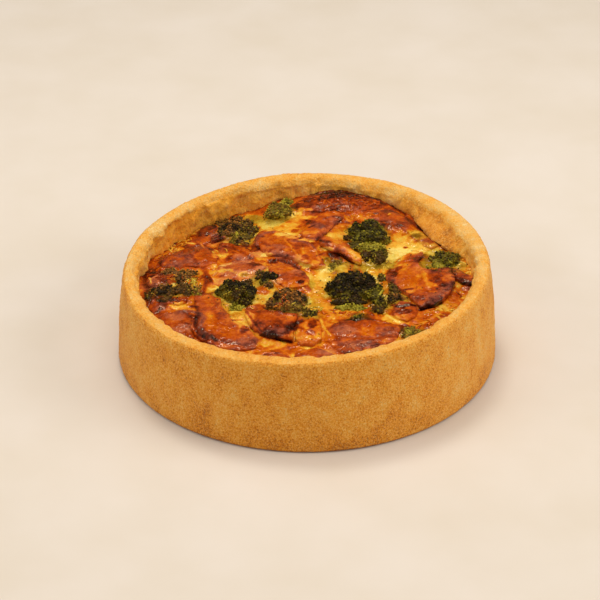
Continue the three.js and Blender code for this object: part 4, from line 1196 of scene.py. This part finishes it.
# Looser bunches beside the crowns: x, y, half widths along x and y, height, greenness, how toasted.
BUNCHES = [
    (34, 28, 6.5, 5.5, 3.0, 0.8, 0.1), (32, 19, 3, 3.5, 2.5, 0.1, 0.2), (23.5, 39, 2.2, 3, 1.6, 0.1, 0.2),
    (28, 31, 5, 5, 2.5, 0.3, 0.1), (39, 17, 3.2, 4.5, 2.5, 0.2, 0.2), (36, -21, 3.5, 8, 3.0, 0.35, 0.0),
    (22, -28, 8, 3, 2.0, 0.08, 0.1), (23, -34, 7, 2.5, 1.0, 0.8, 0.0), (37, -36, 2.4, 3, 1.6, 0.1, 0.2),
    (46, -16, 3.4, 6, 2.0, 0.1, 0.4), (40, -5, 2.2, 3, 1.6, 0.3, 0.2), (-36.5, -18, 3, 6, 2.0, 0.08, 0.1),
    (-33, -27, 4.5, 4, 2.0, 0.1, 0.1), (-36, -33, 4.5, 3.5, 1.0, 0.8, 0.0),
    (-32, -10, 2.8, 2.8, 2.0, 0.1, 0.2), (1, -39, 3.6, 3.2, 1.5, 0.3, 0.3), (-33, 54, 3, 4, 2.0, 0.05, 0.3),
    (-31, 47, 3.5, 5, 2.0, 0.15, 0.2), (-38, 60, 4, 3, 1.2, 0.05, 0.5), (-36, 39, 6, 8, 2.0, 0.35, 0.3),
    (-45, 53, 5.5, 6, 1.8, 0.05, 0.6), (-11, 78, 3.4, 4, 2.2, 0.6, 0.0), (-17, 69, 6, 5.5, 1.6, 0.45, 0.3),
    (-65, -17, 4.7, 5, 2.0, 0.08, 0.3), (-62, -1, 2.8, 4.5, 1.6, 0.04, 0.7),
    (-73, 2, 4.5, 3, 1.2, 0.02, 0.8), (-82, -23, 2.6, 4, 1.2, 0.05, 0.2), (-57, -18, 2, 6, 1.5, 0.3, 0.7),
    (-66, -2, 3.5, 4.5, 1.8, 0.04, 0.6), (80, 15, 2.5, 3.5, 1.6, 0.5, 0.1), (76, 17, 5, 4.5, 2.0, 0.4, 0.1),
    (-20, -12, 2.2, 2.2, 1.2, 0.05, 0.4), (-24, -1, 3.4, 3.6, 2.0, 0.1, 0.3),
    (53, -59, 4.6, 5, 1.2, 0.5, 0.4),
]
SHRED = {"steps": 7, "sides": 6, "fewest": 4, "drop": 2.4}  # no shred spans more height than the drop
BUNCH = {"spacing": 1.05, "down": -0.15, "bare": 0.12, "stalks": 1.6}


def scattered(random, x, y, across, deep, count):
    """Places at random over a patch."""
    middle = ground.seen(x, y)
    for _ in range(count if middle is not None else 0):
        turn, far = random.uniform(0, 2 * np.pi), math.sqrt(random.uniform(0, 1))
        yield middle[:2] + far * ([across, deep] * heading(turn))


def shred_path(random, place, length):
    """The points of a bent shred that lies on the top, with its ends sunk in."""
    turn, bend = random.uniform(0, np.pi), random.uniform(-0.5, 0.5)
    long = length * random.uniform(0.4, 1.1)
    steps = np.linspace(-0.5, 0.5, SHRED["steps"])
    found = [(t, ground.below(*(place + long * t * heading(turn + bend * t)))) for t in steps]
    return np.array([at + [0, 0, 0.12 - 0.9 * abs(t) ** 3] for t, at in found if at is not None])


def small_things(finish):
    """Baked shreds and dark crumbs."""
    random = np.random.default_rng(SEEDS["small"])
    shreds, crumbs = Heap(*TONE_KEYS), Heap(*TONE_KEYS)
    for *patch, length, name in SHREDS:
        for place in scattered(random, *patch):
            path = shred_path(random, place, length)
            if len(path) < SHRED["fewest"] or np.ptp(path[:, 2]) > SHRED["drop"]:
                continue
            radii = random.uniform(0.35, 0.75) * np.sin(np.linspace(0.35, np.pi - 0.35, len(path)))
            tone = np.array(TONES[name]) + [random.uniform(-0.14, 0.14), 0, 0]
            shreds.add(*tube(path, radii, SHRED["sides"]), **tone_values(tone))
    shreds.make("baked_shreds", finish, "baked_slice")
    for patch in CRUMBS:
        for place in scattered(random, *patch):
            size = random.uniform(0.16, 0.32) * random.choice([1, 1, 1, 1.6])
            at = ground.below(*place)
            shape = BUD_POINTS * random.uniform(0.7, 1.3, 3) * [1, 1, 0.6] * size
            if at is not None:
                crumbs.add(at + shape, BUD_FACES, **tone_values((random.uniform(0.84, 1.0), 0.2, 0.0)))
    crumbs.make("baked_crumbs", finish, "baked_slice")


def bunches(finish):
    """Low, ragged bunches of buds and stalks that spread from the crowns."""
    random = np.random.default_rng(SEEDS["bunches"])
    heap = Heap("tone", "toast")
    round_points, round_faces = ball(4)
    turns = np.arctan2(round_points[:, 1], round_points[:, 0])
    for x, y, across, deep, height, green, toasted in BUNCHES:
        middle = ground.seen(x, y)
        ragged = 1 + 0.22 * np.sin(3 * turns + x) + 0.12 * np.sin(7 * turns + y)
        mound = round_points * [across, deep, height] * np.stack([ragged, ragged, 1 + 0 * ragged], axis=1)
        mound = middle + mound + 0.8 * noise(mound + middle, 3, 141)[:, None] * round_points
        heap.add(mound, round_faces, tone=0.7 * green, toast=0.4 * toasted)
        for i in spread(mound, BUNCH["spacing"], random):
            if round_points[i, 2] < BUNCH["down"] or random.uniform(0, 1) < BUNCH["bare"]:
                continue
            shape = BUD_POINTS * random.uniform(0.4, 0.8) * random.uniform(0.85, 1.15, 3)
            tone = green * random.uniform(0.3, 1.3) + 0.5 * random.uniform(0, 1) ** 4
            heap.add(mound[i] + round_points[i] * random.uniform(0.0, 0.7) + shape, BUD_FACES,
                     tone=tone, toast=toasted * random.uniform(0, 1.6))
        foot = middle + [0, -0.9 * deep, -1.0]
        for _ in range(int(green * across * BUNCH["stalks"])):
            turn = random.uniform(0.05 * np.pi, 0.95 * np.pi)
            top = middle + [across * math.cos(turn), deep * math.sin(turn) * 0.6, 0.75 * height]
            start = foot + [0.8 * random.uniform(-across, across), 0, 0]
            bend = 0.5 * (start + top) + [0, -0.5, 0.9 * height]
            radii = random.uniform(0.5, 0.9) * np.linspace(1.2, 0.6, STEMS["steps"])
            heap.add(*tube(arc(start, bend, top), radii), tone=random.uniform(0.6, 1.0), toast=0.0)
    heap.make("loose_bunches", finish, "broccoli_green")


def loose_buds(finish):
    """Single buds that fell from the crowns."""
    random = np.random.default_rng(SEEDS["buds"])
    heap = Heap("tone", "toast")
    for name in FLORET_NAMES:
        low, high = (np.array(corner)[:2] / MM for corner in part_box(name))
        centre, half = (low + high) / 2, (high - low) / 2
        for _ in range(int(4 + 0.6 * half.sum())):
            turn = random.uniform(0, 2 * np.pi)
            at = ground.below(*(centre + half * random.uniform(0.95, 1.35) * heading(turn)))
            shape = BUD_POINTS * random.uniform(0.8, 1.2, 3) * random.uniform(0.3, 0.6)
            if at is not None:
                heap.add(at + shape, BUD_FACES, tone=random.uniform(0, 0.4), toast=random.uniform(0, 0.3))
    heap.make("loose_buds", finish, "broccoli_dark")


# --- Everything ---
pastry_case()
gratin = gratin_finish()
custard_top(gratin)
for slice_name in SLICE_TONES:
    baked_slice(slice_name, gratin)
finishes = {key: floret_finish(*values[:4]) for key, values in LOOKS.items()}
for number, floret_name in enumerate(FLORET_NAMES):
    floret(floret_name, finishes, SEEDS["florets"] + number)
small_things(gratin)
bunches(finishes["green"])
loose_buds(finishes["dark"])


# --- Stage, lights and camera ---
FLOOR_HALF = 3.0  # metres
WORLD_COLOUR, WORLD_STRENGTH = (1.0, 0.985, 0.96, 1.0), 0.45
AIM = (0, 0, 0.03)  # what the lights point at, in metres
LIGHTS = {  # place and width in metres, and power in watts
    "overhead": ((0.0, 0.14, 1.15), 1.0, 5.7),
    "glints": ((-0.1, 0.3, 1.1), 0.24, 3.0),
    "right": ((1.4, -0.3, 0.9), 1.1, 12.2),
    "front": ((0.3, -1.6, 0.75), 1.0, 2.0),
    "left": ((-1.4, -0.3, 0.9), 1.1, 7.3),
}

floor_mesh = bpy.data.meshes.new("floor")
corners = [(-1, -1), (1, -1), (1, 1), (-1, 1)]
floor_mesh.from_pydata([(x * FLOOR_HALF, y * FLOOR_HALF, 0) for x, y in corners], [], [(0, 1, 2, 3)])
floor_mesh.materials.append(floor_finish())
in_scene("floor", floor_mesh)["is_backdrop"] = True

for light_name, (place, size, power) in LIGHTS.items():
    light_data = bpy.data.lights.new(light_name, "AREA")
    light_data.shape, light_data.size, light_data.energy = "DISK", size, power
    light = in_scene(light_name, light_data)
    light.location = place
    light.rotation_euler = (Vector(AIM) - Vector(place)).to_track_quat("-Z", "Y").to_euler()

world = bpy.data.worlds.new("studio")
world.use_nodes = True
background = world.node_tree.nodes["Background"]
background.inputs["Color"].default_value = WORLD_COLOUR
background.inputs["Strength"].default_value = WORLD_STRENGTH
world.cycles_visibility.glossy = False
bpy.context.scene.world = world
bpy.context.scene.view_settings.view_transform = "Standard"

camera_data = bpy.data.cameras.new("camera")
camera_data.lens, camera_data.sensor_width = CAMERA_LENS, CAMERA_SENSOR
camera_data.clip_start, camera_data.clip_end = 0.01, 50
camera = in_scene("camera", camera_data)
camera.location = Vector(CAMERA_AT) * MM
camera.rotation_euler = (math.radians(90 - CAMERA_PITCH), 0, 0)
bpy.context.scene.camera = camera

sizes = {"cad": CAD_BOUNDS, "visual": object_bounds()}
{key: [[float(v) for v in corner] for corner in box] for key, box in sizes.items()}
